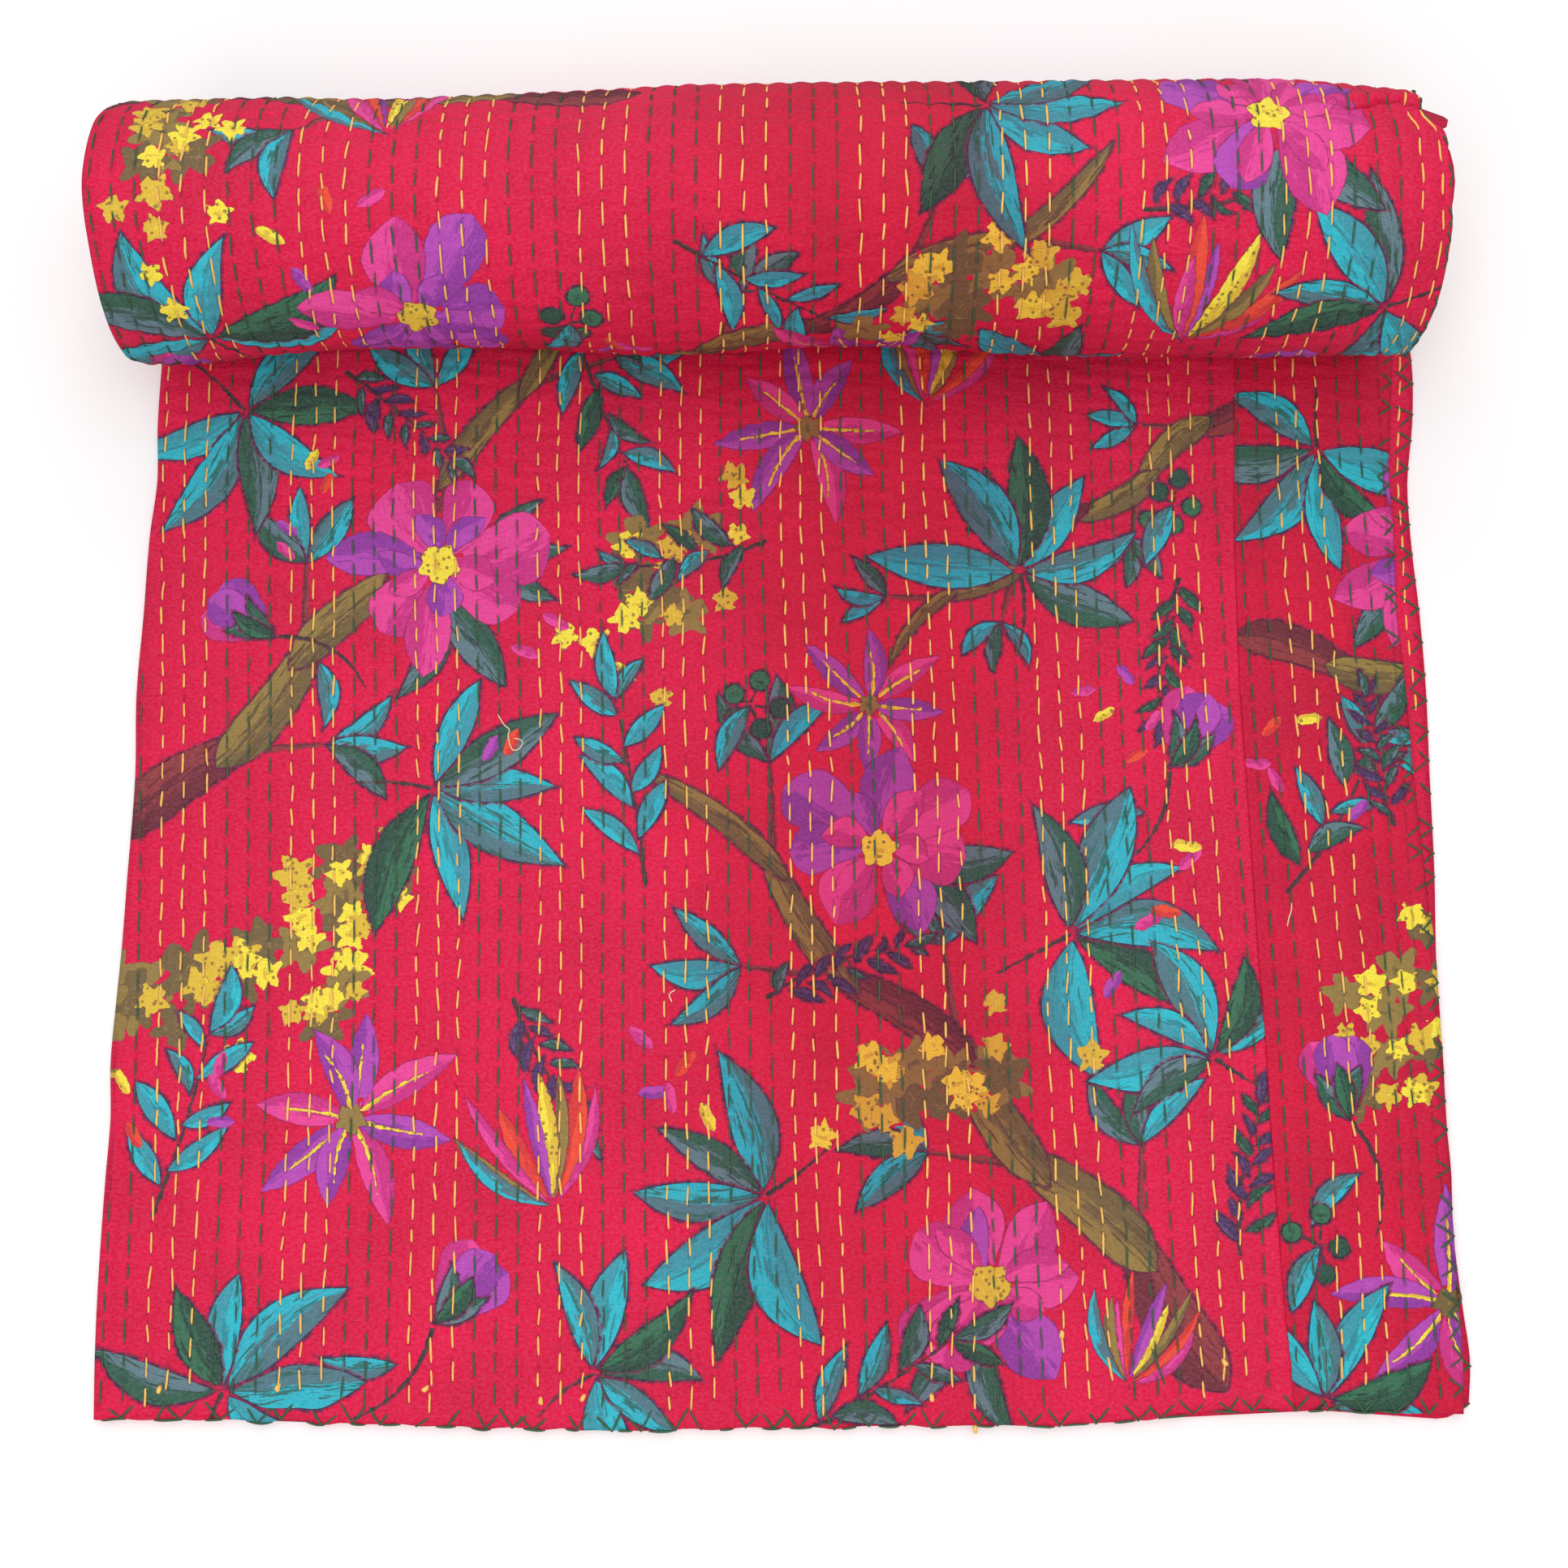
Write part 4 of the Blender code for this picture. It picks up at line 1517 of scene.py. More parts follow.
@dataclass
class ThreadWork:
    """Stitches as short threads, each a tube that comes up out of the cloth and goes back in."""

    radius: float = 0.00067
    rings: int = 6
    sides: int = 6
    points: list[Array] = field(default_factory=list)

    def lay(self, place: Place, starts: Array, ends: Array, seed: int) -> None:
        """Lays a straight stitch from each start to each end over a face of the cloth.

        The tube's centre is the line between them, lifted by the root of a sine, and its
        radius swells in the middle the same way.

        Args:
            place: Gives the point of a pair of cloth places and a lift.
            starts: Pairs of places, one line for each stitch.
            ends: The same for the other ends.
            seed: Seed of the unevenness of the threads' thickness.
        """
        draw = np.random.default_rng(seed)
        u = np.linspace(0, 1, self.rings)
        arch = np.sin(np.pi * u) ** 0.4
        radius = self.radius * draw.uniform(0.85, 1.15, (len(starts), 1))
        first = starts[:, None] + u[None, :, None] * (ends - starts)[:, None]
        lift = radius * (-0.75 + 1.35 * arch)
        self.sweep(place, first, lift, radius * (0.45 + 0.55 * arch))

    def curl(self, knots: Sequence[tuple[float, float]], radius: float) -> None:
        """Lays a loose thread on the upper leaf: a smooth curve through a few places."""
        count = 12 * (len(knots) - 1)
        at = np.linspace(0, len(knots) - 1, count + 1)
        table = [(i, *knot) for i, knot in enumerate(knots)]
        way = pairs(smooth(table, 1, at), smooth(table, 2, at))
        ends = np.minimum(1, np.minimum(at, len(knots) - 1 - at) * 4 + 0.4)
        lift = radius * (0.9 + 0.8 * np.sin(at * 2.1) ** 2)
        self.sweep(LOOSE.upper_point, way[None], lift[None], (radius * ends)[None])

    def sweep(self, place: Place, way: Array, lift: Array, radius: Array) -> None:
        """Sweeps a ring along each way over the cloth, in the frame of the way and the face.

        Args:
            place: Gives the point of a pair of cloth places and a lift.
            way: Pairs of places, a line for each thread.
            lift: Height over the face at each place.
            radius: Radius of the thread at each place.
        """
        small = 1e-4
        centre = place(way[..., 0], way[..., 1], lift)
        side = place(way[..., 0] + small, way[..., 1], lift) - centre
        front = place(way[..., 0], way[..., 1] + small, lift) - centre
        up = np.cross(side, front)
        up /= np.linalg.norm(up, axis=-1, keepdims=True)
        forward = np.gradient(centre, axis=1)
        beside = np.cross(forward, up)
        beside /= np.linalg.norm(beside, axis=-1, keepdims=True).clip(1e-9)
        turn = 2 * np.pi * np.arange(self.sides) / self.sides
        spoke = beside[..., None, :] * np.cos(turn)[:, None] + 0.8 * up[..., None, :] * np.sin(turn)[:, None]
        self.points.append(centre[..., None, :] + radius[..., None, None] * spoke)

    def build(self, name: str) -> bpy.types.Object:
        """Joins all threads into one mesh, with a map of the way along and round each one.

        Args:
            name: Name of the piece.

        Returns:
            The mesh object.
        """
        faces, points, maps, base = [], [], [], 0
        for laid in self.points:
            count, rings, sides = laid.shape[:3]
            ids = base + np.arange(count * rings * sides).reshape(count, rings, sides)
            across = np.roll(ids, -1, axis=2)
            wall = np.stack([ids[:, :-1], ids[:, 1:], across[:, 1:], across[:, :-1]], axis=-1)
            faces += wall.reshape(-1, 4).tolist()
            faces += ids[:, 0].tolist() + ids[:, -1, ::-1].tolist()
            middle = laid.mean(axis=2)
            steps = np.diff(middle, axis=1, prepend=middle[:, :1])
            way = np.cumsum(np.linalg.norm(steps, axis=-1), axis=1)
            maps.append(pairs(way[..., None], np.arange(sides) / sides).reshape(-1, 2))
            points.append(laid.reshape(-1, 3))
            base += laid.size // 3
        piece = new_mesh(name, np.concatenate(points), faces)
        add_map(piece, "thread", np.concatenate(maps))
        return piece


class ThreadColour(Enum):
    """The two threads of the running stitches, in turn by threes."""

    GREEN = "green"
    YELLOW = "yellow"

    @property
    def radius(self) -> float:
        """Radius of the thread: the green one is the thinner."""
        return 0.00054 if self is ThreadColour.GREEN else 0.00066


def yellow_on_loose_end(row: Array) -> Array:
    """True where a row of the loose end is sewn in yellow: rows 2, 3 and 4 of each six."""
    return (row % 6 >= 2) & (row % 6 <= 4)


def yellow_on_roll(row: Array) -> Array:
    """True where a row of the roll is sewn in yellow: the last three of each six."""
    return row % 6 >= 3


@dataclass
class Stitching:
    """All stitches that show: running stitches on both faces and the crossed hem stitches."""

    hem_pitch: float = 0.0180
    hem_reach: float = 0.0086
    hem_radius: float = 0.00067
    under: float = -0.0006  # the legs of a crossed stitch start this far past the hem
    front_half: float = 0.376  # half of the front hem's sewn length
    strip_shown: float = 0.004  # least width of the lower leaf's strip that has stitches
    roll_angle: float = 285.0  # how far round the roll its right hem's stitches go
    roll_share: float = 0.32  # share of their length that lies on the outer face
    knot_radius: float = 0.0013
    knot_length: float = 0.0050
    loop_radius: float = 0.0005
    lint_radius: float = 0.00038

    def running(self, quilting: Quilting, length: float) -> tuple[Array, Array, Array]:
        """Row, start and end of each running stitch whose whole length lies on the face.

        Args:
            quilting: The rows and the places where their stitches start.
            length: Where the face ends, along the rows.

        Returns:
            Three lines, with one number for each stitch.
        """
        starts = quilting.starts()[:-1]
        draw = np.random.default_rng(quilting.seed + 5)
        share = quilting.share * draw.normal(1, 0.12, starts.shape)[:, :-1].clip(0.6, 1.3)
        begin = starts[:, :-1]
        end = begin + np.diff(starts, axis=1) * share.clip(0, 0.85)
        row = np.broadcast_to(np.arange(len(starts))[:, None], begin.shape)
        keep = (begin > quilting.clear) & (end < length)
        return row[keep], begin[keep], end[keep]

    def loose_face(self, works: dict[ThreadColour, ThreadWork]) -> None:
        """Running stitches of the loose end's upper leaf."""
        row, begin, end = self.running(LOOSE_QUILTING, LOOSE_LENGTH - 0.012)
        draw = np.random.default_rng(71)
        lean = draw.normal(0, 0.0005, (2, len(row)))
        begins = pairs(row_across(row.astype(float), begin) + lean[0], begin)
        ends = pairs(row_across(row.astype(float), end) + lean[1], end)
        inside = begins[:, 0] > smooth(OUTLINE, 1, begin) + FOLDED / 2
        yellow = yellow_on_loose_end(row)
        for colour, chosen in ((ThreadColour.YELLOW, yellow), (ThreadColour.GREEN, ~yellow)):
            mine = chosen & inside
            works[colour].lay(LOOSE.upper_point, begins[mine], ends[mine], 72)

    def roll_face(self, works: dict[ThreadColour, ThreadWork]) -> None:
        """Running stitches of the roll's outer face, from low at its back to its front."""
        length = (272 + 90) * DEGREE_LENGTH
        row, begin, end = self.running(ROLL_QUILTING, length)
        draw = np.random.default_rng(73)
        lean = draw.normal(0, 0.04, (2, len(row)))
        begins = pairs(row + lean[0], begin / DEGREE_LENGTH - 90)
        ends = pairs(row + lean[1], end / DEGREE_LENGTH - 90)
        yellow = yellow_on_roll(row)
        works[ThreadColour.YELLOW].lay(ROLL.outer_point, begins[yellow], ends[yellow], 74)
        works[ThreadColour.GREEN].lay(ROLL.outer_point, begins[~yellow], ends[~yellow], 75)

    def vees(self, length: float, seed: int) -> tuple[Array, Array]:
        """Crossed hem stitches: pairs of legs that meet at the hem and part away from it.

        Args:
            length: Length of the hem.
            seed: Seed of their unevenness.

        Returns:
            Starts and ends as pairs of the way along the hem and the distance from it.
        """
        draw = np.random.default_rng(seed)
        count = int(length / self.hem_pitch)
        foot = (np.arange(count) + 0.5 + draw.normal(0, 0.17, count)) * self.hem_pitch
        starts, ends = [], []
        for side in (-1, 1):
            spread = side * draw.uniform(0.0048, 0.0092, count)
            reach = self.hem_reach * draw.normal(1, 0.20, count).clip(0.5, 1.4)
            cross = -side * draw.uniform(-0.0002, 0.0012, count)
            drawn = draw.uniform(size=count) > 0.05
            starts.append(pairs(foot + cross, self.under)[drawn])
            ends.append(pairs(foot + spread, reach)[drawn])
        return np.concatenate(starts), np.concatenate(ends)

    def hems(self, work: ThreadWork) -> None:
        """Crossed stitches along the front hem, the two right hems and the roll's right hem."""
        starts, ends = self.vees(2 * self.front_half, 81)
        work.lay(LOOSE.upper_point, starts - (self.front_half, 0), ends - (self.front_half, 0), 91)
        for column, place, seed in ((3, LOOSE.upper_point, 82), (4, LOOSE.margin_point, 83)):
            legs = self.vees(LOOSE_LENGTH - 0.02, seed)
            if column == 4:
                strip = smooth(OUTLINE, 4, legs[0][:, 0]) - smooth(OUTLINE, 3, legs[0][:, 0])
                legs = [at[strip > self.strip_shown] for at in legs]
            first, last = (pairs(smooth(OUTLINE, column, at[:, 0]) - at[:, 1], at[:, 0]) for at in legs)
            work.lay(place, first, last, seed + 10)
        first, last = (self.on_roll(at) for at in self.vees(self.roll_angle * DEGREE_LENGTH, 86))
        work.lay(ROLL.outer_point, first, last, 99)
        self.hem_lines(work)

    def on_roll(self, at: Array) -> Array:
        """Row and angle of places of the roll's right hem, which starts low at the back."""
        row = (ROLL_RIGHT - ROLL_ROW_ZERO - self.roll_share * at[:, 1]) / ROLL_ROW_SPACING
        return pairs(row, (at[:, 0] - 70 * DEGREE_LENGTH) / DEGREE_LENGTH)

    def hem_lines(self, work: ThreadWork) -> None:
        """Stitches that lie along the front hem, between the crossed ones."""
        draw = np.random.default_rng(85)
        foot = np.arange(-0.365, 0.365, 1.4 * self.hem_pitch)
        foot = foot + draw.uniform(-0.006, 0.006, len(foot))
        reach = draw.uniform(0.003, 0.0080, len(foot))
        level = self.under / 2
        work.lay(LOOSE.upper_point, pairs(foot - reach, level), pairs(foot + reach, level), 94)

    def margin_row(self, work: ThreadWork) -> None:
        """The row of running stitches on the strip of the lower leaf beside the upper one."""
        begin = np.arange(0.400, 0.640, LOOSE_QUILTING.pitch)
        end = begin + 0.0108
        first = pairs(smooth(OUTLINE, 3, begin) + 0.0058, begin)
        last = pairs(smooth(OUTLINE, 3, end) + 0.0062, end)
        work.lay(LOOSE.margin_point, first, last, 93)

    def ends(self, works: dict[ThreadColour, ThreadWork]) -> None:
        """Knots of yellow thread near the front hem, a long green stitch and a green loop."""
        draw = np.random.default_rng(95)
        knots = np.array(KNOTS)
        at, turn = knots[:, :2], np.radians(knots[:, 2:])
        way = np.concatenate([np.cos(turn), np.sin(turn)], axis=1)
        fat = ThreadWork(radius=self.knot_radius)
        fat.lay(LOOSE.upper_point, at, at + self.knot_length * way, 96)
        aside = way[:, ::-1] * (0.0016, -0.0016) * draw.uniform(-1, 1, (len(knots), 1))
        fat.lay(LOOSE.upper_point, at + aside, at + 0.72 * self.knot_length * way, 97)
        works[ThreadColour.YELLOW].points += fat.points
        green = works[ThreadColour.GREEN]
        green.lay(LOOSE.upper_point, np.array(LONG_STITCH[:1]), np.array(LONG_STITCH[1:]), 98)
        green.curl(HEM_LOOP, self.loop_radius)

    def build(self) -> list[bpy.types.Object]:
        """Makes one mesh of threads for each colour and part of the quilt, and one of lint."""
        loose = {colour: ThreadWork(colour.radius) for colour in ThreadColour}
        rolled = {colour: ThreadWork(colour.radius) for colour in ThreadColour}
        hem = ThreadWork(self.hem_radius)
        self.loose_face(loose)
        self.roll_face(rolled)
        self.hems(hem)
        self.margin_row(loose[ThreadColour.YELLOW])
        self.ends(loose)
        lint = ThreadWork()
        for curl in LINT:
            lint.curl(curl, self.lint_radius)
        pieces = [loose[colour].build(f"stitches_{colour.value}_loose_end") for colour in ThreadColour]
        pieces += [rolled[colour].build(f"stitches_{colour.value}_roll") for colour in ThreadColour]
        return [*pieces, hem.build("stitches_green_hems"), lint.build("loose_threads")]


# ---- finishes ----


def linear(code: str, alpha: float = 1.0) -> tuple[float, float, float, float]:
    """Linear colour of a hexadecimal sRGB one, as the shader sockets take it."""
    parts = [int(code[i : i + 2], 16) / 255 for i in (1, 3, 5)]
    red, green, blue = (v / 12.92 if v <= 0.04045 else ((v + 0.055) / 1.055) ** 2.4 for v in parts)
    return red, green, blue, alpha


class Graph:
    """Builds the node tree of one material."""

    def __init__(self, name: str) -> None:
        """Starts a material with a Principled shader."""
        self.material = bpy.data.materials.new(name)
        self.material.use_nodes = True
        self.tree = self.material.node_tree
        self.shader = self.tree.nodes["Principled BSDF"]

    def node(self, kind: str, **settings: object) -> bpy.types.Node:
        """Adds a node and sets its own properties."""
        made = self.tree.nodes.new(kind)
        for name, value in settings.items():
            setattr(made, name, value)
        return made

    def plug(self, value: object, socket: Socket) -> None:
        """Links a socket to an input, or sets the input's own value."""
        if isinstance(value, bpy.types.NodeSocket):
            self.tree.links.new(value, socket)
        else:
            socket.default_value = value

    def math(self, operation: str, *values: object, clamp: bool = False) -> Socket:
        """Result of a Math node."""
        made = self.node("ShaderNodeMath", operation=operation, use_clamp=clamp)
        for value, socket in zip(values, made.inputs):
            self.plug(value, socket)
        return made.outputs[0]

    plus = partialmethod(math, "ADD")
    minus = partialmethod(math, "SUBTRACT")
    times = partialmethod(math, "MULTIPLY")
    over = partialmethod(math, "DIVIDE")
    size = partialmethod(math, "ABSOLUTE")
    largest = partialmethod(math, "MAXIMUM")
    is_more = partialmethod(math, "GREATER_THAN")
    is_less = partialmethod(math, "LESS_THAN")

    def split(self, value: Socket) -> tuple[Socket, Socket, Socket]:
        """The three parts of a vector."""
        made = self.node("ShaderNodeSeparateXYZ")
        self.plug(value, made.inputs[0])
        return made.outputs[0], made.outputs[1], made.outputs[2]

    def join(self, *parts: object) -> Socket:
        """A vector of three parts."""
        made = self.node("ShaderNodeCombineXYZ")
        for value, socket in zip(parts, made.inputs):
            self.plug(value, socket)
        return made.outputs[0]

    def mix(self, share: object, first: object, second: object, blend: str = "MIX") -> Socket:
        """Mix of two colours."""
        made = self.node("ShaderNodeMix", data_type="RGBA", blend_type=blend, clamp_factor=True)
        for value, place in zip((share, first, second), (0, 6, 7)):
            self.plug(value, made.inputs[place])
        return made.outputs[2]

    def noise(self, at: Socket, scale: float, detail: float = 2.0, rough: float = 0.5) -> Socket:
        """A noise between 0 and 1."""
        made = self.node("ShaderNodeTexNoise")
        for name, value in (("Vector", at), ("Scale", scale), ("Detail", detail), ("Roughness", rough)):
            self.plug(value, made.inputs[name])
        return made.outputs["Fac"]

    def streaks(self, at: Socket, scale: Sequence[float], detail: float = 2.0, rough: float = 0.5) -> Socket:
        """A noise with a scale of its own for each direction."""
        scaled = self.node("ShaderNodeVectorMath", operation="MULTIPLY")
        self.plug(at, scaled.inputs[0])
        self.plug((*scale, 1.0), scaled.inputs[1])
        return self.noise(scaled.outputs[0], 1.0, detail, rough)

    def spots(self, at: Socket, scale: float) -> Socket:
        """Distance from the nearest of scattered points, in the units of `at`."""
        made = self.node("ShaderNodeTexVoronoi")
        self.plug(at, made.inputs["Vector"])
        made.inputs["Scale"].default_value = scale
        return self.over(made.outputs["Distance"], scale)

    def band(
        self, value: Socket, low: float, high: float, to_low: float = 0.0, to_high: float = 1.0
    ) -> Socket:
        """Clamped straight map of low..high to another range.

        Args:
            value: What is mapped.
            low: Value that gives `to_low`.
            high: Value that gives `to_high`.
            to_low: Result at and beyond `low`.
            to_high: Result at and beyond `high`.

        Returns:
            The result.
        """
        made = self.node("ShaderNodeMapRange", clamp=True)
        for given, socket in zip((value, low, high, to_low, to_high), made.inputs):
            self.plug(given, socket)
        return made.outputs[0]

    def map(self, name: str) -> Socket:
        """The piece's own map of that name."""
        return self.node("ShaderNodeUVMap", uv_map=name).outputs[0]

    def attribute(self, name: str) -> Socket:
        """An attribute of the piece, as a vector."""
        return self.node("ShaderNodeAttribute", attribute_name=name).outputs["Vector"]

    def steps(self, value: Socket, colours: Sequence[tuple[float, ...]]) -> Socket:
        """Colour number `value` of a list."""
        made = self.node("ShaderNodeValToRGB")
        ramp = made.color_ramp
        ramp.interpolation = "CONSTANT"
        while len(ramp.elements) < len(colours):
            ramp.elements.new(1.0)
        for i, colour in enumerate(colours):
            ramp.elements[i].position = max(0.0, (i - 0.5) / 16)
            ramp.elements[i].color = colour
        self.plug(self.over(value, 16.0), made.inputs[0])
        return made.outputs[0]

    def bump(self, height: Socket, strength: float, distance: float, normal: Socket | None = None) -> Socket:
        """Normal of a height in metres times `distance`."""
        made = self.node("ShaderNodeBump")
        for name, value in (("Strength", strength), ("Distance", distance), ("Height", height)):
            self.plug(value, made.inputs[name])
        if normal is not None:
            self.plug(normal, made.inputs["Normal"])
        return made.outputs[0]

    def finish(self, roughness: float, shine: float | None = None) -> bpy.types.Material:
        """Sets how rough and how shiny the surface is, and returns the material."""
        self.shader.inputs["Roughness"].default_value = roughness
        if shine is not None:
            self.shader.inputs["Specular IOR Level"].default_value = shine
        return self.material


@dataclass(frozen=True)
class PrintedCotton:
    """Crimson cotton with the hand print, quilted in rows.

    A pair of scales is for the cloth's two directions, and says how many waves a metre has.
    """

    name: str = "printed_cotton"
    ground: str = "#DB043A"
    deep: str = "#C80230"
    seeped: str = "#6E1B38"
    nap: str = "#FFB8FF"
    fuzz: float = 0.046  # how much of the nap's colour shows
    deep_tint: str = "#EEC4CA"
    deep_middle: float = 0.055  # across of the middle of the band with deeper dye
    slub_scale: tuple[float, float] = (240.0, 820.0)
    warp_scale: tuple[float, float] = (1300.0, 110.0)
    nap_scale: tuple[float, float] = (430.0, 620.0)
    crimp_scale: tuple[float, float] = (70.0, 320.0)
    weave_pitch: float = 0.00055
    sheen: tuple[float, ...] = (0.9, 0.6, 0.9, 1.0)

    def make(self) -> bpy.types.Material:
        """Builds the material: ground, the print's layers, then weave, slubs and creases."""
        g = Graph(self.name)
        cloth = g.map("cloth")
        broad = g.noise(cloth, 14, 3)
        slub = g.streaks(cloth, self.slub_scale, 3)
        warp = g.streaks(cloth, self.warp_scale)
        grain = g.noise(cloth, 1300, 2, 0.6)
        colour = g.mix(g.band(broad, 0.35, 0.7), linear(self.ground), linear(self.deep))
        wobble = g.noise(cloth, 210, 3, 0.6)
        flecks = g.spots(cloth, 240)
        for layer in range(PRINT_LAYERS):
            colour = self.stroke_layer(g, layer, wobble, flecks, colour)
        tone_and_stitch_shade = g.band(slub, 0.3, 0.72, 0.91, 1.07)
        tone_and_stitch_shade = g.times(tone_and_stitch_shade, g.band(warp, 0.3, 0.7, 0.93, 1.06))
        tone_and_stitch_shade = g.times(tone_and_stitch_shade, g.band(grain, 0.28, 0.72, 0.80, 1.16))
        # painted shade beside each stitch, multiplied into the weave's own tone
        tone_and_stitch_shade = g.times(tone_and_stitch_shade, self.stitch_shade(g))
        colour = g.mix(1.0, colour, g.join(tone_and_stitch_shade, tone_and_stitch_shade, tone_and_stitch_shade), "MULTIPLY")
        nap = g.band(g.streaks(cloth, self.nap_scale, 3, 0.6), 0.38, 0.64, 0.0, self.fuzz)
        colour = g.mix(nap, colour, linear(self.nap))
        colour = g.mix(self.deep_dye(g, cloth), colour, linear(self.deep_tint), "MULTIPLY")
        g.plug(colour, g.shader.inputs["Base Color"])
        g.plug(self.sheen, g.shader.inputs["Specular Tint"])
        g.plug(self.weave(g, cloth, slub), g.shader.inputs["Normal"])
        return g.finish(roughness=0.74, shine=0.5)

    def deep_dye(self, g: Graph, cloth: Socket) -> Socket:
        """How much deeper the dye is: most along a broad band a little right of the middle."""
        across, along, _ = g.split(cloth)
        off = g.size(g.minus(across, self.deep_middle))
        ragged = g.plus(off, g.band(g.noise(cloth, 9, 2), 0.3, 0.7, -0.03, 0.03))
        return g.times(g.band(ragged, 0.035, 0.150, 1.0, 0.0), g.band(along, 0.0, 0.2, 0.35, 1.0))

    def stitch_shade(self, g: Graph) -> Socket:
        """Painted shade in the pucker of each stitch: a narrow dip along each row, where its thread shows."""
        row, phase, _ = g.split(g.map("rows"))
        off = g.size(g.minus(row, g.math("ROUND", row)))
        within = g.math("FRACT", phase)
        sewn = g.is_less(within, 0.80)
        dip = g.band(off, 0.055, 0.100, 0.72, 1.0)
        return g.largest(dip, g.minus(1.0, g.times(sewn, 0.9)))

    def stroke_layer(self, g: Graph, layer: int, wobble: Socket, flecks: Socket, below: Socket) -> Socket:
        """Prints one layer of strokes over the colour below it.

        A stroke covers where its half-width is more than the distance from its middle line.
        One side has its light ink and the other its dark one, parted by a streaky edge. Yellow
        is flecked, and the ground round a stroke is darker where the dye seeped.

        Args:
            g: The material's graph.
            layer: Number of the layer, of which the last is on top.
            wobble: Noise that makes the outlines uneven.
            flecks: Distance from the nearest fleck.
            below: Colour of the cloth with the layers below.

        Returns:
            The colour with this layer.
        """
        share, aside, width = g.split(g.attribute(f"stroke_{layer}"))
        ink, seed, ring = g.split(g.attribute(f"ink_{layer}"))
        off = g.size(aside)
        depth = g.plus(g.minus(width, off), g.band(wobble, 0.2, 0.8, -0.0011, 0.0011))
        cover = g.band(depth, -0.00012, 0.00018)
        streak = g.noise(g.join(g.times(share, 3.2), g.times(aside, 420.0), seed), 1.0, 3, 0.6)
        flip = g.minus(g.times(g.is_more(seed, 0.5), 2.0), 1.0)
        lean = g.over(g.times(aside, flip), g.largest(width, 0.0005))
        lean = g.plus(lean, g.band(streak, 0.3, 0.7, -0.8, 0.8))
        light, dark, brush, edge = (g.steps(ink, [linear(code) for code in column]) for column in zip(*INKS))
        colour = g.mix(g.band(lean, -0.08, 0.08), dark, light)
        line = g.times(ring, g.band(wobble, 0.35, 0.65, 0.3, 1.9))
        outline = g.times(g.is_less(depth, line), g.is_more(ring, 0.0002))
        vein = g.is_less(off, g.times(g.minus(1.1, share), 0.00055))
        leafy = g.is_more(ring, 0.0005)
        drawn = g.largest(g.times(vein, 0.8), g.times(g.band(streak, 0.58, 0.61), 0.85))
        colour = g.mix(g.times(drawn, leafy), colour, brush)
        yellow = g.math("COMPARE", ink, float(Ink.YELLOW), 0.5)
        flecked = g.times(g.times(yellow, g.is_less(flecks, 0.0011)), 0.85)
        colour = g.mix(g.largest(outline, flecked), colour, edge)
        reach = g.plus(g.times(leafy, 0.0011), 0.0007)
        near = g.over(g.plus(depth, reach), reach, clamp=True)
        dyed = g.times(g.band(wobble, 0.30, 0.58, 0.25, 0.95), g.plus(0.6, g.times(leafy, 0.4)))
        shaded = g.mix(g.times(g.band(near, 0.0, 0.7), dyed), below, linear(self.seeped))
        return g.mix(cover, shaded, colour)

    def weave(self, g: Graph, cloth: Socket, slub: Socket) -> Socket:
        """Normal of the plain weave, and of the crimps between the stitches."""
        x, y, _ = g.split(cloth)
        over, under = (g.math("SINE", g.times(way, 2 * np.pi / self.weave_pitch)) for way in (x, y))
        threads = g.times(g.plus(over, under), 0.5)
        crimp = g.bump(g.streaks(cloth, self.crimp_scale, 3, 0.55), 0.55, 0.0011)
        return g.bump(threads, 0.35, 0.00006, g.bump(slub, 0.4, 0.00022, crimp))


@dataclass(frozen=True)
class CottonThread:
    """Twisted cotton thread."""

    name: str
    colour: str
    shade: str
    twist: float = 0.0016

    def make(self) -> bpy.types.Material:
        """Builds the material: plies that wind round the thread, with painted shade in the grooves between
        them, and uneven dye along it.
        """
        g = Graph(self.name)
        at = g.map("thread")
        way, around, _ = g.split(at)
        wound = g.plus(g.over(way, self.twist), around)
        ply = g.math("SINE", g.times(wound, 2 * np.pi * 2))
        dye = g.streaks(at, (260.0, 1.0))
        # the grooves between the plies are painted shade; the streaks along the thread are its own uneven dye
        share = g.plus(g.band(ply, -1.0, 0.6, 0.55, 0.0), g.band(dye, 0.4, 0.75, 0.0, 0.5))
        g.plug(g.mix(share, linear(self.colour), linear(self.shade)), g.shader.inputs["Base Color"])
        g.plug(g.bump(ply, 0.5, 0.00012), g.shader.inputs["Normal"])
        return g.finish(roughness=0.62, shine=0.3)


# ---- the set ----


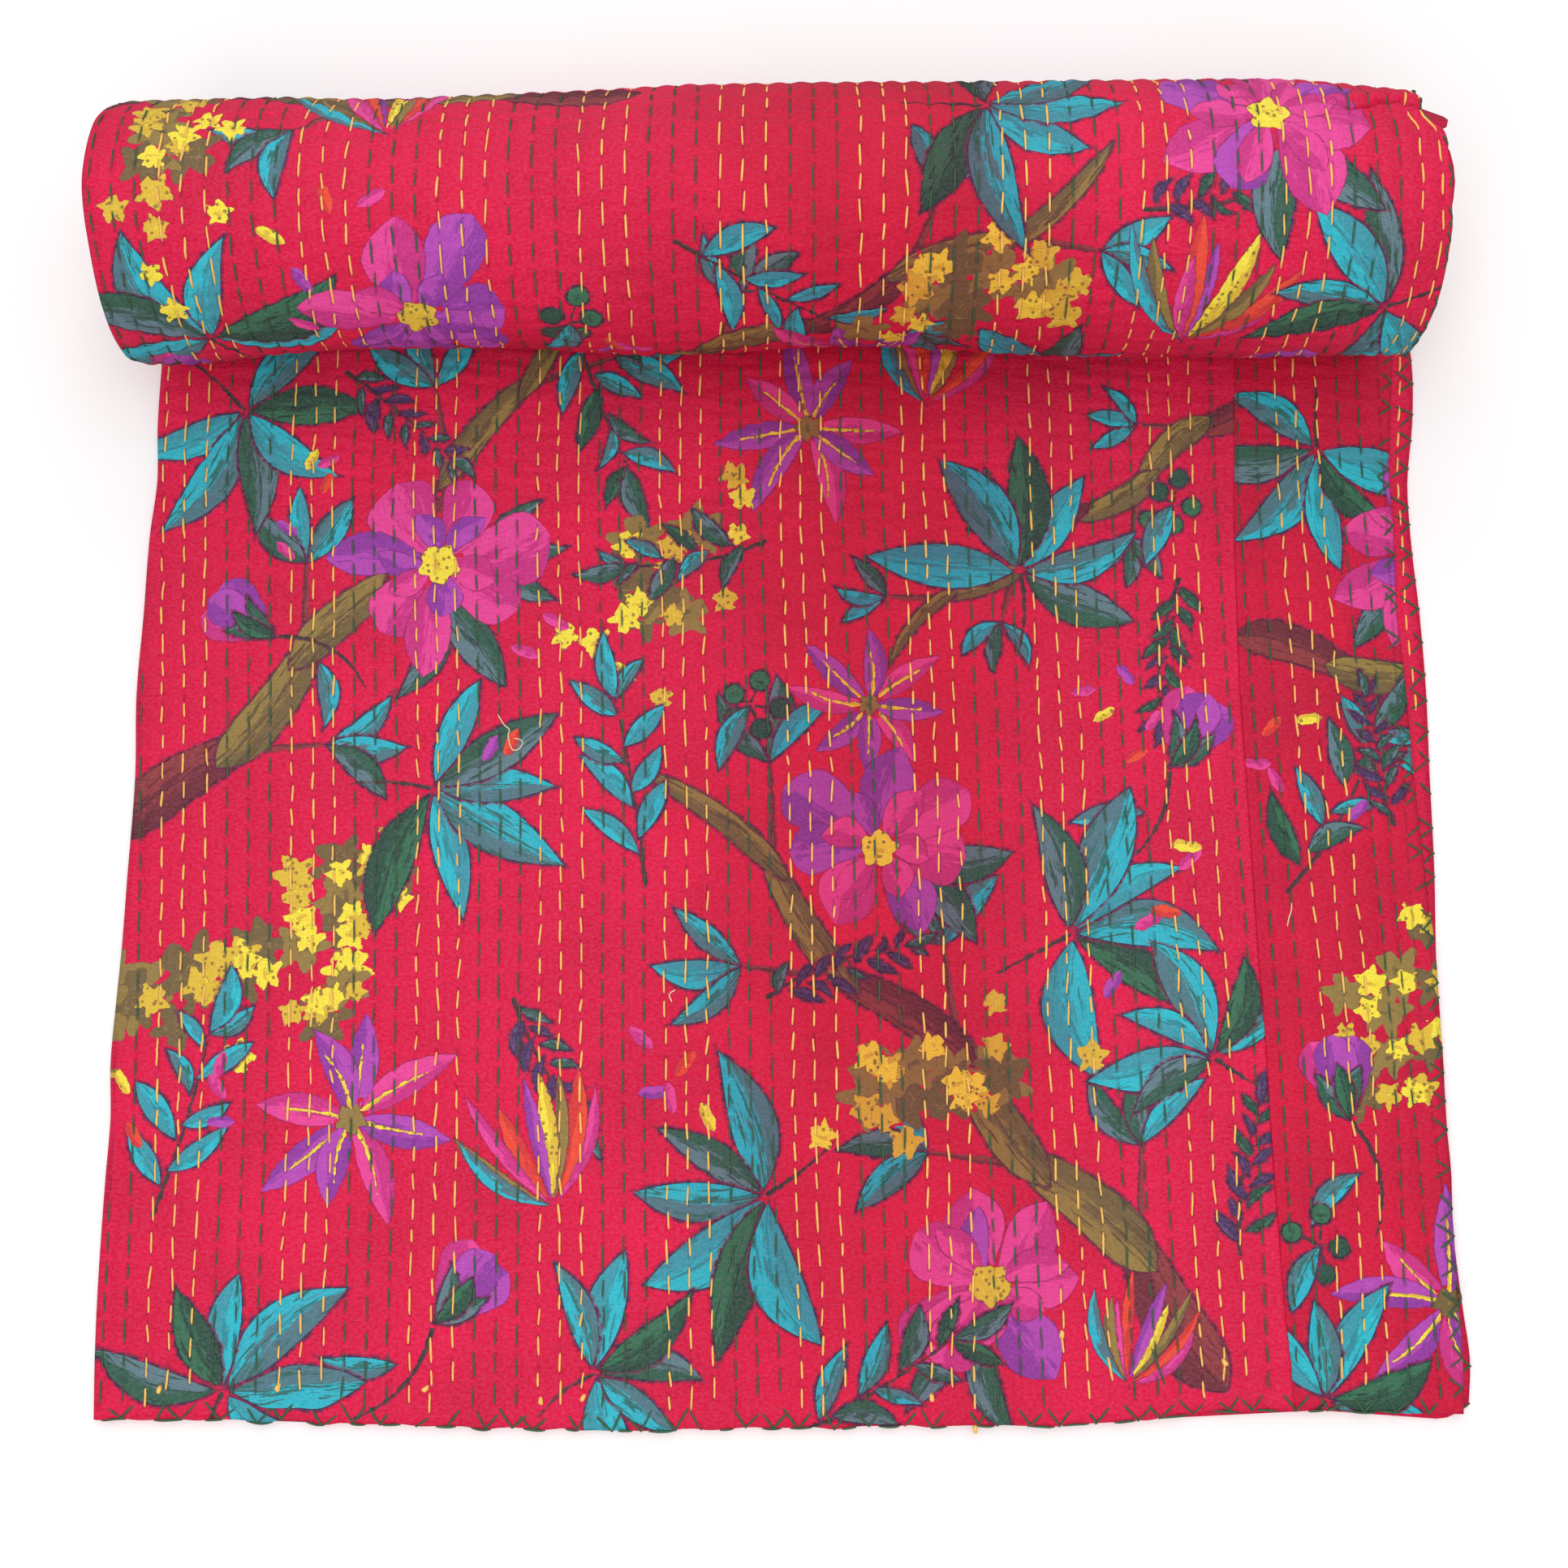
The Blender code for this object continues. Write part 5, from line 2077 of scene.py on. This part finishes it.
@dataclass(frozen=True)
class Studio:
    """Camera, lights and floor."""

    lens: float = 46.58
    height: float = 1.1715
    tilt: float = 10.3
    back: float = -0.2281
    floor_half: float = 30.0

    def camera(self) -> None:
        """Puts the camera above the quilt, tilted from straight down towards the roll."""
        data = bpy.data.cameras.new("camera")
        data.lens = self.lens
        data.sensor_width = 36.0
        camera = bpy.data.objects.new("camera", data)
        camera.location = (-CENTRE_X, self.back, self.height)
        camera.rotation_euler = (np.radians(self.tilt), 0.0, 0.0)
        bpy.context.scene.collection.objects.link(camera)
        bpy.context.scene.camera = camera

    def light(
        self,
        name: str,
        place: Sequence[float],
        turn: Sequence[float],
        size: float,
        power: float,
        glossy: bool = True,
    ) -> None:
        """Adds a square soft light."""
        data = bpy.data.lights.new(name, "AREA")
        data.shape = "SQUARE"
        data.size = size
        data.energy = power
        lamp = bpy.data.objects.new(name, data)
        lamp.location = place
        lamp.rotation_euler = np.radians(turn)
        lamp.visible_glossy = glossy
        bpy.context.scene.collection.objects.link(lamp)

    def build(self) -> None:
        """Makes the floor and the lights."""
        bpy.context.scene.view_settings.view_transform = "Standard"
        world = bpy.data.worlds.new("studio")
        world.use_nodes = True
        room = world.node_tree.nodes["Background"].inputs
        room["Color"].default_value = (1.0, 0.98, 0.98, 1.0)
        room["Strength"].default_value = 0.48
        world.cycles_visibility.glossy = False  # matt cotton shows no sheen from the pale room
        bpy.context.scene.world = world
        self.light("key", (-0.25, -1.15, 1.9), (35, 0, -8), 1.6, 21.5, glossy=False)
        self.light("top", (0.1, 0.25, 2.2), (-6, 3, 0), 2.2, 20)
        self.light("back", (0.0, 1.8, 1.15), (-57, 0, 0), 1.2, 10)
        corners = np.array([[-1, -1, 0], [1, -1, 0], [1, 1, 0], [-1, 1, 0]]) * self.floor_half
        floor = new_mesh("floor", corners, [[0, 1, 2, 3]])
        paper = Graph("pale_paper")
        paper.plug((0.93, 0.92, 0.92, 1.0), paper.shader.inputs["Base Color"])
        floor.data.materials.append(paper.finish(roughness=0.9))
        floor.visible_glossy = False
        floor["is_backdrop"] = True


def main() -> None:
    """Builds the quilt's pieces round the frame and reports each one."""
    logging.basicConfig(level=logging.INFO, format="%(name)s: %(message)s")
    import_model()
    studio = Studio()
    studio.camera()
    studio.build()
    cotton = PrintedCotton().make()
    narrow_cotton = PrintedCotton("printed_cotton_narrow", "#CE022E", "#BA0126", fuzz=0.032).make()
    cloth = [panel().build() for panel in (WidePanel, NarrowPanel, OuterTurn, InnerTurns)]
    wide, narrow, rolled = Print(WIDE_PRINT, 1), Print(NARROW_PRINT, 2), Print(ROLL_PRINT, 3)
    for design, piece in zip((wide, narrow, rolled, rolled), cloth):
        design.lay_on(piece)
    nodes = ("wide_panel", "narrow_panel", "roll", "roll")
    slots = ("printed_cotton", "printed_cotton_narrow", "printed_cotton_rolled", "printed_cotton_rolled")
    finishes = (cotton, narrow_cotton, cotton, cotton)
    for piece, node, slot, finish in zip(cloth, nodes, slots, finishes):
        piece.data.materials.append(finish)
        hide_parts(node)
        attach(piece, "root")
    yellow = CottonThread("yellow_thread", "#FDCE74", "#EBA548").make()
    green = CottonThread("green_thread", "#4C6A4E", "#33503A").make()
    lint = CottonThread("pale_thread", "#F4E2BC", "#D8BC8C").make()
    for piece in Stitching().build():
        finish = lint if piece.name == "loose_threads" else yellow if "yellow" in piece.name else green
        piece.data.materials.append(finish)
        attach(piece, "root")
    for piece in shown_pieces():
        log.info("%s: %d faces", piece.name, len(piece.data.polygons))


if __name__ == "__main__":
    main()
